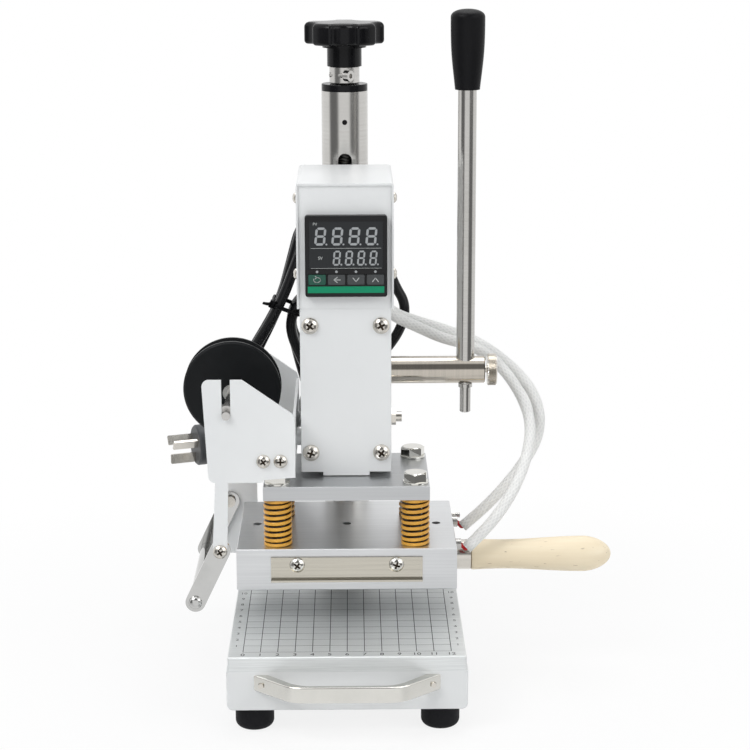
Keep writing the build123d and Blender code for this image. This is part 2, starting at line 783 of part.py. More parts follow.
def lever_grip():
    """A tapered grip with a domed end, turned about the rod."""
    length = gripTop - gripBottom
    with BuildPart() as grip:
        with BuildSketch(Plane.XZ):
            with BuildLine():
                crown = length - 5.0
                Polyline((rodRadius, 0), (7.45, 0))
                Spline((7.45, 0), (9.6, 0.42 * length), (10.25, crown), tangents=[(0.1, 1), (0, 1)])
                Spline((10.25, crown), (0, length), tangents=[(0, 1), (-1, 0)], tangent_scalars=[1.1, 1.0])
                Polyline((0, length), (0, 22), (rodRadius, 22), (rodRadius, 0))
            make_face()
        revolve(axis=Axis.Z)
    return Pos(rodX, shaftY, gripBottom) * grip.part


def thumb_screw():
    """The knurled screw in the end of the shaft that clamps the rod."""
    x0 = shaftRight + 1.5
    head = rod_x(thumbRadius, x0, x0 + thumbThick, shaftY, shaftZ)
    head = chamfer(head.edges().filter_by(GeomType.CIRCLE), 0.7)
    shank = rod_x(2.0, rodX + rodRadius + looseGap, x0, shaftY, shaftZ)
    return head + shank


def bolt_points():
    return [(sx * boltX, sy * boltY) for sy in (-1, 1) for sx in (-1, 1)]


def upper_plate():
    z0 = upperTop - upperThick
    plate = block(-upperHalfWidth, upperHalfWidth, -upperHalfDepth, upperHalfDepth, z0, upperTop)
    plate = chamfer(plate.edges().group_by(Axis.Z)[-1], 0.5)
    for x, y in bolt_points():
        plate -= rod_z(boltRadius + runFit, z0 - 1, upperTop + 1, x, y)
    return plate


def die_springs():
    """Four flat-wire springs, ground flat at both ends."""
    bottom = blockTop + seatGap
    top = upperTop - upperThick
    mean = springRadius - springWire / 2
    pitch = (top - bottom) / springCoils
    arcs = []
    for k in range(int(4 * springCoils) + 4):
        turns = [(k + part) * pi / 2 for part in (0, 0.5, 1)]
        points = [(mean * cos(t), mean * sin(t), pitch * t / (2 * pi)) for t in turns]
        arcs.append(ThreePointArc(*points))
    path = Wire(arcs)
    section = Plane(origin=(mean, 0, 0), x_dir=(1, 0, 0), z_dir=path % 0)
    coil = sweep(section * Rectangle(springWire, springWireHeight), path=path, is_frenet=True)
    one = Pos(0, 0, bottom - pitch * 0.62) * coil & rod_z(springRadius + 5, bottom, top, 0, 0)
    gaps["die spring"] = pitch - springWireHeight
    return group([Pos(x, y, 0) * one for x, y in bolt_points()])


def heating_block():
    """The heated block, bored for its two cartridge heaters and tapped for the bolts."""
    block_ = block(-blockHalfWidth, blockHalfWidth, blockFrontY, blockRearY, blockBottom, blockTop)
    block_ = chamfer(block_.edges().group_by(Axis.Z)[-1], 0.5)
    railY = 4.0
    for y0, y1 in ((blockFrontY, blockFrontY + railY - 1.9), (blockRearY - railY + 1.9, blockRearY)):
        block_ += block(-blockHalfWidth, blockHalfWidth, y0, y1, dieBottom + 1.5, blockBottom)
    block_ += block(-blockHalfWidth, blockHalfWidth, blockFrontY, dieFrontY + 1.2, dieBottom + 2.9, dieBottom + 4.7)
    block_ += block(-blockHalfWidth, blockHalfWidth, dieRearY - 1.2, blockRearY, dieBottom + 2.9, dieBottom + 4.7)
    for x, y in bolt_points():
        block_ -= rod_z(boltRadius, blockTop - 12, blockTop + 1, x, y)
    for x in (-55, 0, 55):
        block_ -= rod_z(2.6, blockTop - 8, blockTop + 1, x, 10)
    for y in (heaterFrontY, heaterRearY):
        block_ -= rod_x(heaterRadius, -blockHalfWidth + 8, blockHalfWidth + 1, y, heaterZ)
    for x in (-keeperScrewX, keeperScrewX):
        block_ -= rod_y(shank_radius(keeperScrewRadius), blockFrontY - 1, blockFrontY + 8, x, keeperScrewZ)
    block_ -= rod_x(2.2, blockHalfWidth - 8, blockHalfWidth + 1, probeY, probeZ)
    return block_


def hanger_bolts():
    """Hex bolts with washers that hang the block under the upper plate, and the keeper's screws."""
    bolts = []
    for x, y in bolt_points():
        washer = rod_z(7.6, upperTop, upperTop + 1.4, x, y)
        hexagon = RegularPolygon(boltFlats / 2, 6, major_radius=False)
        head = Pos(x, y, upperTop + 1.4) * extrude(hexagon, amount=boltHeadHeight)
        head = chamfer(head.edges().group_by(Axis.Z)[-1], 0.5)
        shank = rod_z(boltRadius, blockTop - 11, upperTop + 1.4, x, y)
        bolts.append(washer + head + shank)
    return group(bolts + keeper_screws())


def keeper_plate():
    """The stainless strip on the front of the block, its lip bent out below."""
    y0 = blockFrontY
    z0 = keeperScrewZ - 8.8
    half = keeperHalfLength
    strip = block(-half, half, y0 - keeperThick, y0, z0, z0 + 13.3)
    strip += block(-half, half, y0 - 4.0, y0, z0 - keeperThick, z0)
    for x in (-keeperScrewX, keeperScrewX):
        strip -= rod_y(shank_radius(keeperScrewRadius), y0 - 2, y0 + 1, x, keeperScrewZ)
    return strip


def keeper_screws():
    y = blockFrontY - keeperThick
    return [screw_front(keeperScrewRadius, 8, x, y, keeperScrewZ) for x in (-keeperScrewX, keeperScrewX)]


def heater_cartridges():
    """Two cartridge heaters and the thermocouple's fitting, in the block's right side."""
    pieces = []
    for y in (heaterFrontY, heaterRearY):
        pieces.append(rod_x(heaterRadius, -blockHalfWidth + 8, blockHalfWidth + heaterProud, y, heaterZ))
    fitting = rod_x(2.2, blockHalfWidth - 8, blockHalfWidth, probeY, probeZ)
    fitting += Pos(blockHalfWidth, probeY, probeZ) * Rot(0, 90, 0) * extrude(RegularPolygon(3.6, 6), amount=3)
    fitting += rod_x(1.6, blockHalfWidth + 3, blockHalfWidth + 6, probeY, probeZ)
    pieces.append(fitting)
    return group(pieces)


def die_plate():
    """The plate that carries the die and slides out to the right."""
    plate = block(-blockHalfWidth + 0.5, blockHalfWidth, dieFrontY, dieRearY, dieBottom, dieTop)
    plate = chamfer(plate.edges().group_by(Axis.Z)[0], 0.5)
    for y0, y1 in ((dieFrontY - 1, dieFrontY + 1.5), (dieRearY - 1.5, dieRearY + 1)):
        plate -= block(-blockHalfWidth, blockHalfWidth + 1, y0, y1, dieBottom + 2.6, dieBottom + 5.0)
    return plate - rod_x(4.0, blockHalfWidth - 13, blockHalfWidth + 1, dieHandleY, dieHandleZ - 1.6)


def die_ferrule():
    """The nickel ferrule, its stud screwed in the die plate."""
    x0 = blockHalfWidth + 0.6
    ferrule = rod_x(ferruleRadius, x0, x0 + ferruleLength, dieHandleY, dieHandleZ)
    ferrule = chamfer(ferrule.edges().filter_by(GeomType.CIRCLE), 0.6)
    stud = rod_x(4.0, blockHalfWidth - 13, x0, dieHandleY, dieHandleZ - 1.6)
    return ferrule + stud


def die_handle():
    """A turned wooden handle: slim waist, full belly, round end."""
    x0 = blockHalfWidth + 0.6 + ferruleLength
    length = dieHandleEnd - x0
    with BuildPart() as handle:
        with BuildSketch(Plane.XZ):
            with BuildLine():
                Polyline((0, length), (0, 0), (9.3, 0), (9.5, 1.5))
                Spline((9.5, 1.5), (9.0, 0.25 * length), (10.9, 0.8 * length), tangents=[(-0.05, 1), (0, 1)])
                Spline((10.9, 0.8 * length), (0, length), tangents=[(0, 1), (-1, 0)], tangent_scalars=[1.0, 1.0])
            make_face()
        revolve(axis=Axis.Z)
    return Pos(x0, dieHandleY, dieHandleZ) * Rot(0, 90, 0) * handle.part


def bracket_outline():
    """The outline that both end plates share, without the lower tab."""
    with BuildSketch() as outline:
        with BuildLine():
            Polyline((-84.2, 196.5), (-60.5, 196.5), (webX - 1.5, 176.0), (webX, 172.0), (webX, 137.4),
                     (-49.3, 136.0), (-49.3, 134.4), (-81.0, 134.4), close=True)
        make_face()
        corners = outline.vertices()
        fillet([v for v in corners if v.X < -80], 4.0)
        fillet([v for v in corners if -62 < v.X < -60], 5.0)
    return outline.sketch


def shaft_slot():
    """The open slot that the spool's shaft drops into."""
    radius = spoolShaftRadius + 0.08
    slot = Pos(spoolX, spoolZ) * Circle(radius)
    return slot + Pos(spoolX, spoolZ + 20) * Rectangle(2 * radius, 40)


def front_tab():
    with BuildSketch() as tab:
        with BuildLine():
            Polyline((-77.2, 136), (-79.5, pivotZ + 1), (-70.8, pivotZ + 1), (-69.6, 136), close=True)
        make_face()
        with Locations((pivotX, pivotZ)):
            Circle(4.4)
    return tab.sketch


def rear_tab():
    with BuildSketch() as tab:
        with BuildLine():
            Polyline((-80.5, 136), (-81.5, 60), (-79, 56), (-71, 56), (-64.5, 89.2), (-57.7, 89.2),
                     (-57.7, 136), close=True)
        make_face()
    return tab.sketch


def foil_front_plate():
    """The front end plate of the foil holder, screwed on the bracket's flange."""
    face = bracket_outline() + front_tab() - shaft_slot()
    plate = prism_y(face, bracketFrontY, bracketFrontY + bracketSheet)
    plate -= rod_y(2.0, bracketFrontY - 1, bracketFrontY + 3, pivotX, pivotZ)
    for x in plateScrewX:
        plate -= rod_y(shank_radius(bracketScrewRadius), bracketFrontY - 1, bracketFrontY + 3, x, plateScrewZ)
    return plate


def foil_bracket():
    """The folded bracket: front flange, side web and rear end plate."""
    y0 = bracketFrontY + bracketSheet
    face = bracket_outline() + rear_tab() - shaft_slot()
    rear = prism_y(face, bracketRearY - bracketSheet, bracketRearY)
    rear -= rod_y(2.0, bracketRearY - 3, bracketRearY + 1, pivotX, pivotZ)
    web = block(webX - bracketSheet, webX, y0, bracketRearY, webBottom, webTop)
    flange = block(-54, webX, y0, y0 + bracketSheet, webBottom, flangeTop)
    for x in plateScrewX:
        flange -= rod_y(shank_radius(bracketScrewRadius), y0 - 1, y0 + 3, x, plateScrewZ)
    pads = [rod_x(5, webX, -bodyHalfWidth, y, webScrewZ) for y in webScrewY]
    bracket = rear + web + flange + pads[0] + pads[1]
    for y in webScrewY:
        bracket -= rod_x(shank_radius(bracketScrewRadius), webX - bracketSheet - 1, webX + 1, y, webScrewZ)
    return bracket


def head_screws():
    """Pan-head screws of the head: cover, box, foil plate, link pivots and bracket."""
    screws = [screw_front(coverScrewRadius, 13, x, coverFrontY, z) for x, y, z in cover_points()]
    for z in sideScrewZ:
        side = Pos(boxHalfWidth, boxFrontY + 6, z) * Rot(0, 90, 0) * pan_screw(sideScrewRadius, 2.4)
        screws += both_sides(side)
    screws += [screw_front(bracketScrewRadius, 4, x, bracketFrontY, plateScrewZ) for x in plateScrewX]
    for y in webScrewY:
        screws.append(Pos(webX - bracketSheet, y, webScrewZ) * Rot(0, -90, 0) * pan_screw(bracketScrewRadius, 1.4))
    return group(screws + link_pivots())


def guide_arm():
    """Two polished swing links joined by the fixed rod between their lower ends."""
    lean = atan2(pivotX - guideX, pivotZ - guideZ)
    length = sqrt((pivotX - guideX) ** 2 + (pivotZ - guideZ) ** 2)
    with BuildSketch() as link:
        SlotCenterToCenter(length, linkWidth, rotation=90)
    flat = Pos((pivotX + guideX) / 2, (pivotZ + guideZ) / 2) * Rot(0, 0, -degrees(lean)) * link.sketch
    pieces = []
    for y0, y1 in link_spans():
        plate = prism_y(flat, y0, y1)
        plate -= rod_y(2.0 + runFit, y0 - 1, y1 + 1, pivotX, pivotZ)
        plate -= rod_y(2.0, y0 - 1, y1 + 1, guideX, guideZ)
        pieces.append(plate)
    rod = rod_y(2.0, link_spans()[0][0], link_spans()[1][1], guideX, guideZ)
    head = screw_front(4.0, 1.0, guideX, link_spans()[0][0], guideZ)
    return group([pieces[0], pieces[1], rod + head])


def link_spans():
    """Front and rear links, each just inside its end plate."""
    frontY = bracketFrontY + bracketSheet + looseGap
    rearY = bracketRearY - bracketSheet - looseGap
    return [(frontY, frontY + linkThick), (rearY - linkThick, rearY)]


def link_pivots():
    """Shoulder screws that carry the two links on the end plates."""
    pivots = []
    front, rear = link_spans()
    shank = rod_y(2.0, bracketFrontY, front[1] + 0.4, pivotX, pivotZ)
    pivots.append(shank + screw_front(4.2, 1.0, pivotX, bracketFrontY, pivotZ) +
                  rod_y(3.6, front[1] + 0.3, front[1] + 2.3, pivotX, pivotZ))
    shank = rod_y(2.0, rear[0] - 0.4, bracketRearY, pivotX, pivotZ)
    pivots.append(shank + rod_y(3.6, rear[0] - 2.3, rear[0] - 0.3, pivotX, pivotZ) +
                  rod_y(3.6, bracketRearY, bracketRearY + 2, pivotX, pivotZ))
    return pivots


def guide_roller():
    front, rear = link_spans()
    y0 = front[1] + looseGap
    y1 = rear[0] - looseGap
    roller = rod_y(rollerRadius, y0, y1, guideX, guideZ)
    return roller - rod_y(2.0 + runFit, y0 - 1, y1 + 1, guideX, guideZ)


def spool_shaft():
    """The foil roll's shaft, with a collar at the disc and one inside each end plate."""
    y0 = bracketFrontY - 2.5
    y1 = bracketRearY + 2.5
    shaft = rod_y(spoolShaftRadius, y0, y1, spoolX, spoolZ)
    inside = [bracketFrontY + bracketSheet + 0.5, discFrontY - 8.5, bracketRearY - bracketSheet - 6.5]
    for y in inside:
        shaft += rod_y(5.2, y, y + 6, spoolX, spoolZ)
        shaft -= rod_x(1.3, spoolX + 2.6, spoolX + 6, y + 3, spoolZ)
    return shaft


def spool_disc():
    """The black disc that locates the roll: stepped rim, hub and bore."""
    y1 = discFrontY + discThick
    with BuildPart() as disc:
        with BuildSketch(Plane.XZ):
            with BuildLine():
                Polyline((spoolShaftRadius, 0), (discRadius - 1.2, 0), (discRadius, 1.2), (discRadius, 3.0),
                         (discRadius - 3.5, 4.0), (discRadius - 3.5, discThick - 4.0),
                         (discRadius, discThick - 3.0), (discRadius, discThick - 1.2),
                         (discRadius - 1.2, discThick), (spoolShaftRadius, discThick), (spoolShaftRadius, 0))
            make_face()
        revolve(axis=Axis.Z)
    return Pos(spoolX, y1, spoolZ) * Rot(90, 0, 0) * disc.part


def cord_tube(name, points, diameter):
    """A round cord along straight runs joined by arcs as large as the runs allow."""
    points = [Vector(*p) for p in points]
    radii = []
    for a, b, c in zip(points, points[1:], points[2:]):
        turn = radians((b - a).get_angle(c - b))
        radii.append(0.45 * min((b - a).length, (c - b).length) / tan(turn / 2))
    path = FilletPolyline(*points, radius=radii)
    if name == "mains hank":
        gaps[name] = least_gap(path, diameter)
    start = Plane(origin=points[0], z_dir=(points[1] - points[0]).normalized())
    tube = sweep(start * Circle(diameter / 2), path=path)
    ideal = path.length * pi * diameter ** 2 / 4
    print(name, "length", round(path.length, 1), "volume ratio", round(tube.volume / ideal, 4))
    print("  radii", [round(r, 1) for r in radii])
    return tube


def hank_frame(s, t, layer):
    """A point of the hank: s across it, t along it from the tie, layer behind the column."""
    x = hankX + s * cos(hankLean) + t * sin(hankLean)
    z = hankZ - s * sin(hankLean) + t * cos(hankLean)
    return Vector(x, hankLayerY + layer * hankPitch, z)


def hank_fold(j):
    """Centre across and along the hank, radius and layer of one fold; the loose ends differ in size."""
    along = hankTop if j % 2 else -hankFoot
    across = hankShift + hankLoose * sin(1.7 * j + 0.6)
    return across, along + hankLoose * sin(2.3 * j + 1.0), hankFold + 0.3 * hankLoose * sin(2.1 * j), (j + 1) // 2


def hank_waist(j):
    """Where the run after fold j goes through the tie: up on the left, down on the right."""
    if j % 2:
        return hankWaist - hankPinch, 0.0, (j + 1) // 2
    return -hankWaist, 0.0, (j + 1) // 2 + 0.5


def fold_points(j, before, after):
    """Corners round one fold, clockwise, from the point before it to the point after it."""
    s, t, radius, layer = hank_fold(j)
    angles = []
    for (ps, pt), side in ((before, -1), (after, 1)):
        reach = sqrt((ps - s) ** 2 + (pt - t) ** 2)
        angles.append(atan2(pt - t, ps - s) + side * acos(radius / reach))
    turn = (angles[0] - angles[1]) % (2 * pi)
    corners = 5 if j else 4
    wide = radius / cos(turn / corners / 2)
    steps = [angles[0] - turn * (k + 0.5) / corners for k in range(corners)]
    return [hank_frame(s + wide * cos(a), t + wide * sin(a), layer) for a in steps]


def hank_points():
    """The hank's corners: up on the left, over the top, down on the right and round below."""
    points = []
    for j in range(2 * hankTurns):
        before = hank_waist(j - 1)[:2] if j else hankIn
        points += fold_points(j, before, hank_waist(j)[:2])
        points.append(hank_frame(*hank_waist(j)))
    return points


def hank_start():
    """The hank's first point, and the direction in which the cord comes in."""
    first = hank_points()[0]
    source = hank_frame(*hankIn, 0)
    along = (first - source).normalized()
    return first - 22 * along, along


def hank_end():
    """The hank's last point, and the direction in which the cord leaves."""
    waist = hank_points()[-1]
    s, t, radius, layer = hank_fold(2 * hankTurns)
    below = hank_frame(s + radius, t, hankTurns)
    along = (below - waist).normalized()
    return waist + 46 * along, along


def mains_hank():
    """The stowed mains cord, tied at its waist: four loose turns, as one unbroken tube."""
    points = [hank_start()[0]] + hank_points() + [hank_end()[0]]
    tube = cord_tube("mains hank", [(p.X, p.Y, p.Z) for p in points], mainsDiameter)
    return tube


def least_gap(path, diameter):
    """The least distance between the surfaces of two stretches of one tube."""
    count = 700
    points = [path @ (k / count) for k in range(count + 1)]
    step = path.length / count
    skip = int(3.2 * diameter / step)
    least = 1e9
    for i in range(0, len(points)):
        a = points[i]
        for b in points[i + skip:]:
            d = (a.X - b.X) ** 2 + (a.Y - b.Y) ** 2 + (a.Z - b.Z) ** 2
            if d < least:
                least = d
    return sqrt(least) - diameter


def mains_cord():
    """From the gland, out to the right of the column and down into the hank."""
    exitY = boxRearY + glandReach
    last, along = hank_start()
    before = last - 14 * along
    return cord_tube("mains cord", [
        (mainsExitX, exitY, mainsExitZ),
        (mainsExitX + 1.1, exitY + 16.0, mainsExitZ),
        (25.4, 124, 255),
        (26.9, 134.5, 241.5),
        (30.0, 137.5, 228),
        (35.2, 137, 215),
        (37.8, 136, 201.5),
        (35.2, 134, 188),
        (28.0, 131.5, 176),
        (18.5, 128, 167),
        (5.0, 123.5, 158.5),
        (before.X, before.Y, before.Z),
        (last.X, last.Y, last.Z),
    ], mainsDiameter)


def mains_tail():
    """From the hank's last run to the plug."""
    start, along = hank_end()
    first = start + 20 * along
    last = plug_point(-plugBody - plugRelief)
    before = plug_point(-plugBody - plugRelief - 13)
    route = [
        (start.X, start.Y, start.Z),
        (first.X, first.Y, first.Z),
        (-32.6, 148.3, 126.5),
        (-42.5, 147.3, 116),
        (-55.2, 142.3, 112.3),
        (before.X, before.Y, before.Z),
        (last.X, last.Y, last.Z),
    ]
    return cord_tube("mains tail", route, mainsDiameter)


def plug_point(along):
    """A point on the plug's axis, measured from its face towards the pins' tips."""
    return plugFace + along * Vector(-cos(plugTurn), -sin(plugTurn), 0)


def plug_frame():
    across = (sin(plugTurn), -cos(plugTurn), 0)
    return Plane(origin=plugFace, x_dir=across, z_dir=(-cos(plugTurn), -sin(plugTurn), 0))


def mains_plug():
    """A moulded plug: round face, tapered body and strain relief, turned in one piece."""
    neck = mainsDiameter / 2 + 1.2
    with BuildPart() as plug:
        with BuildSketch(Plane.XZ):
            with BuildLine():
                Polyline((0, 0), (plugRadius - 1, 0), (plugRadius, -1), (plugRadius, -5))
                Spline((plugRadius, -5), (neck, -plugBody), tangents=[(0, -1), (-0.25, -1)])
                Polyline((neck, -plugBody), (mainsDiameter / 2 + 0.4, -plugBody - plugRelief),
                         (0, -plugBody - plugRelief), (0, 0))
            make_face()
        revolve(axis=Axis.Z)
    return plug_frame() * plug.part


def plug_pins():
    """Three flat pins: two slanted live pins over an upright earth pin."""
    pins = []
    for side, down, slant in ((-6.9, -3.0, 30), (6.9, -3.0, -30), (0, 8.0, 0)):
        pin = Pos(side, -down, pinLength / 2) * Rot(0, 0, slant) * Box(1.6, 6.4, pinLength)
        pins.append(chamfer(pin.edges().group_by(Axis.Z)[-1], 0.5))
    return plug_frame() * group(pins)


def heater_lead_rear():
    """The white sleeved lead to the rear heater."""
    return cord_tube("rear heater lead", [
        (leadExitX, lead_exits()[1], bodyTop),
        (leadExitX, lead_exits()[1], bodyTop - 6.5),
        (24.2, 62, 221),
        (31, 62.8, 214.5),
        (44, 64.5, 209.5),
        (61, 66, 204),
        (82, 68, 196),
        (101, 68, 183),
        (116, 64, 168),
        (123, 58, 152),
        (122, 52, 138),
        (111, 45, 120),
        (98.5, 40, 103),
        (88.3, 37, 90.3),
        (blockHalfWidth + heaterProud + 10, heaterRearY, heaterZ),
        (blockHalfWidth + heaterProud + seatGap, heaterRearY, heaterZ),
    ], leadDiameter)


def heater_lead_front():
    """The white sleeved lead to the front heater."""
    return cord_tube("front heater lead", [
        (leadExitX, lead_exits()[0], bodyTop),
        (leadExitX, lead_exits()[0], bodyTop - 6.5),
        (24.2, 53, 221),
        (31, 54, 214),
        (44, 55.5, 208),
        (60, 57, 200),
        (76, 58, 196),
        (90, 57, 189),
        (102, 53, 177),
        (111, 46, 163),
        (115.5, 38, 149),
        (113, 26, 133),
        (106.5, 12.5, 117),
        (98, 0, 102),
        (89.5, -6.5, 91),
        (blockHalfWidth + heaterProud + 10, heaterFrontY, heaterZ),
        (blockHalfWidth + heaterProud + seatGap, heaterFrontY, heaterZ),
    ], leadDiameter)


def build_nodes():
    """Every node of the machine by name."""
    nodes = {
        "rubber_feet": rubber_feet(),
        "base_pan": base_pan(),
        "rear_deck": rear_deck(),
        "moving_rails": moving_rails(),
        "table_plate": table_plate(),
        "table_front": table_front(),
        "pull_handle": pull_handle(),
        "handle_screws": handle_screws(),
        "column_flange": column_flange(),
        "base_screws": base_screws(),
        "column_tube": column_tube(),
        "column_cap": column_cap(),
        "lead_screw": lead_screw(),
        "adjust_collar": adjust_collar(),
        "star_knob": star_knob(),
        "head_casting": head_casting(),
        "front_cover": front_cover(),
        "shaft_bushes": shaft_bushes(),
        "lift_nut": lift_nut(),
        "ram_lock_screw": ram_lock_screw(),
        "control_box": control_box(),
        "control_panel": control_panel(),
        "power_switch": power_switch(),
        "power_rocker": power_rocker(),
        "controller_body": controller_body(),
        "display_window": display_window(),
        "key_set": controller_key(0),
        "key_shift": controller_key(1),
        "key_down": controller_key(2),
        "key_up": controller_key(3),
        "cord_glands": cord_glands(),
        "ram_bar": ram_bar(),
        "pinion": pinion(),
        "lever_shaft": lever_shaft(),
        "lever_rod": lever_rod(),
        "lever_grip": lever_grip(),
        "thumb_screw": thumb_screw(),
        "upper_plate": upper_plate(),
        "die_springs": die_springs(),
        "heating_block": heating_block(),
        "hanger_bolts": hanger_bolts(),
        "keeper_plate": keeper_plate(),
        "heater_cartridges": heater_cartridges(),
        "die_plate": die_plate(),
        "die_ferrule": die_ferrule(),
        "die_handle": die_handle(),
        "foil_front_plate": foil_front_plate(),
        "foil_bracket": foil_bracket(),
        "head_screws": head_screws(),
        "guide_arm": guide_arm(),
        "guide_roller": guide_roller(),
        "spool_shaft": spool_shaft(),
        "spool_disc": spool_disc(),
        "mains_cord": mains_cord(),
        "mains_hank": mains_hank(),
        "mains_tail": mains_tail(),
        "mains_plug": mains_plug(),
        "plug_pins": plug_pins(),
        "heater_lead_rear": heater_lead_rear(),
        "heater_lead_front": heater_lead_front(),
    }
    return nodes


os.makedirs("parts", exist_ok=True)
for nodeName, shape in build_nodes().items():
    export_step(shape, "parts/" + nodeName + ".step")
for label, gap in gaps.items():
    print("least gap of", label, round(gap, 2))
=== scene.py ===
from math import acos, atan2, cos, pi, radians, sin, sqrt

import bmesh
import bpy
from mathutils import Matrix, Vector


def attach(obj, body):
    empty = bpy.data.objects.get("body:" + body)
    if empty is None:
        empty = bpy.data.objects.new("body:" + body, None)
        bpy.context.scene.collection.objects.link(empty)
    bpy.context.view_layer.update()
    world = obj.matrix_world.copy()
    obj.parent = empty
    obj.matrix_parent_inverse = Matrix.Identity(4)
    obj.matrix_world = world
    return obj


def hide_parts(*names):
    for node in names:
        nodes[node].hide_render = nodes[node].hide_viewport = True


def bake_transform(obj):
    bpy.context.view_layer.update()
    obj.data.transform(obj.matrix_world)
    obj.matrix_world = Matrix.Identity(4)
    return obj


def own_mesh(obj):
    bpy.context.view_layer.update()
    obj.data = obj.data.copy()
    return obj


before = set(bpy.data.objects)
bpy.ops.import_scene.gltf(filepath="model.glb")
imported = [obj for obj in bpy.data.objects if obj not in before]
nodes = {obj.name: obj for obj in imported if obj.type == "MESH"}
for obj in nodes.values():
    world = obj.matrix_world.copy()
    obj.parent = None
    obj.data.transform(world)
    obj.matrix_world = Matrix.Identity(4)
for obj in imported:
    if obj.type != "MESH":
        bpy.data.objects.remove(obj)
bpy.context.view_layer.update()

print("frame loaded:", len(nodes), "nodes")


# A socket that can be written in sums and products
class Field:
    def __init__(self, graph, socket):
        self.graph = graph
        self.socket = socket

    def math(self, operation, *others):
        return self.graph.node("ShaderNodeMath", {"operation": operation}, dict(enumerate((self,) + others)))

    def other(self, output):
        return Field(self.graph, self.socket.node.outputs[output])

    def __add__(self, other):
        return self.math("ADD", other)

    def __sub__(self, other):
        return self.math("SUBTRACT", other)

    def __mul__(self, other):
        return self.math("MULTIPLY", other)

    def __rsub__(self, other):
        return self.graph.node("ShaderNodeMath", {"operation": "SUBTRACT"}, {0: other, 1: self})

    __radd__ = __add__
    __rmul__ = __mul__


# A node tree: every node comes from node(), with its settings first and its sockets after
class Graph:
    def __init__(self, tree):
        self.tree = tree

    def feed(self, socket, value):
        if isinstance(value, Field):
            self.tree.links.new(value.socket, socket)
        elif socket.type == "RGBA" and len(value) == 3:
            socket.default_value = (*value, 1)
        else:
            socket.default_value = value

    def node(self, kind, settings=None, inputs=None, out=0):
        made = self.tree.nodes.new(kind)
        for key, value in (settings or {}).items():
            setattr(made, key, value)
        for key, value in (inputs or {}).items():
            self.feed(made.inputs[key], value)
        return Field(self, made.outputs[out]) if made.outputs else None


# One material: its shader's own values, and the nodes that vary them
class Finish(Graph):
    def __init__(self, name, **values):
        self.material = bpy.data.materials.new(name)
        self.material.use_nodes = True
        super().__init__(self.material.node_tree)
        self.shader = self.tree.nodes["Principled BSDF"]
        for key, value in values.items():
            self.set(key.replace("_", " "), value)

    def set(self, socket, value):
        self.feed(self.shader.inputs[socket], value)

    # Object coordinates, stretched along each axis
    def place(self, scale=(1, 1, 1), shift=(0, 0, 0)):
        at = self.node("ShaderNodeTexCoord", out="Object")
        return self.node("ShaderNodeMapping", None, {"Vector": at, "Scale": scale, "Location": shift})

    def noise(self, where, scale, detail=3.0, roughness=0.5):
        inputs = {"Vector": where, "Scale": scale, "Detail": detail, "Roughness": roughness}
        return self.node("ShaderNodeTexNoise", None, inputs)

    def blend(self, share, first, second):
        return self.node("ShaderNodeMix", {"data_type": "RGBA"}, {0: share, 6: first, 7: second}, out=2)

    def spread(self, value, low, high, fromLow=0.0, fromHigh=1.0):
        inputs = {0: value, 1: fromLow, 2: fromHigh, 3: low, 4: high}
        return self.node("ShaderNodeMapRange", {"clamp": True}, inputs)

    # One colour going over into another where the share rises
    def tint(self, share, first, second):
        self.set("Base Color", self.blend(share, first, second))

    # Roughness between two ends, over the middle of a noise's range, where nearly all of it lies
    def wear(self, value, ends):
        self.set("Roughness", self.spread(value, *ends, 0.3, 0.7))

    def bump(self, height, strength, distance):
        inputs = {"Height": height, "Strength": strength, "Distance": distance}
        self.set("Normal", self.node("ShaderNodeBump", None, inputs))


# Heights and axes that the springs, their bolts and their paint share
pressLook = {"springFoot": 93.75, "springTop": 122.7, "boltSeat": 131.2, "boltX": 41.0, "boltY": 28.5}
boltAxes = [(sx * pressLook["boltX"], sy * pressLook["boltY"]) for sx in (-1, 1) for sy in (-1, 1)]

paintLook = {
    "white": (0.80, 0.81, 0.81), "shade": (0.73, 0.745, 0.75), "rough": (0.28, 0.40), "clouds": 9.0,
    "specks": 160.0, "peel": 520.0, "peelHeight": 0.00012,
}
metalLooks = {
    "drawn": {"metal": 1.0, "fine": (4.0, 0.6), "clouds": (22.0, 3.0), "stains": (6.0, 2.0), "height": 0.00006,
              "marked": (0.8, 0.32, 0.68), "stained": (0.4, 0.4, 0.7), "shares": (0.6, 0.6, 0.4)},
    "turned": {"metal": 1.0, "fine": (3.0, 0.55), "clouds": (30.0, 4.0), "stains": (30.0, 4.0),
               "height": 0.00005, "marked": (0.6, 0.34, 0.66), "stained": (0.5, 0.4, 0.75),
               "shares": (0.6, 0.5, 0.5)},
    "milled": {"metal": 0.55, "fine": (4.0, 0.6), "clouds": (24.0, 4.0), "stains": (24.0, 4.0),
               "height": 0.00005, "marked": (0.8, 0.35, 0.7), "stained": (0.0, 0.4, 0.7),
               "shares": (1.0, 0.5, 0.5)},
}
plateLook = {
    "haze": 55.0, "scratches": (900, 900, 60), "shade": 0.86, "recessShade": (0.07, 0.055, 0.04), "height": 0.00003,
}
mouldLook = {"clouds": 30.0, "depth": 0.35}
# The "gap" colour is painted shade between the coils, laid on inward of the radii "inner" to "outer" from each
# bolt
springLook = {
    "yellow": (0.80, 0.42, 0.055), "dark": (0.58, 0.28, 0.040), "rough": (0.26, 0.40),
    "chip": (0.20, 0.10, 0.03), "gap": (0.050, 0.016, 0.006), "inner": 0.0074, "outer": 0.0081,
    "clouds": 60.0, "chips": 420.0, "height": 0.00008,
}
woodLook = {
    "pale": (0.93, 0.82, 0.62), "grain": (0.82, 0.68, 0.47), "fleck": (0.34, 0.23, 0.13),
    "rough": (0.42, 0.60), "fibres": (9.0, 120.0, 120.0), "bands": (3.0, 34.0, 34.0),
    "pores": (60.0, 900.0, 900.0), "flecks": (150.0, 700.0, 700.0), "height": 0.00012,
}
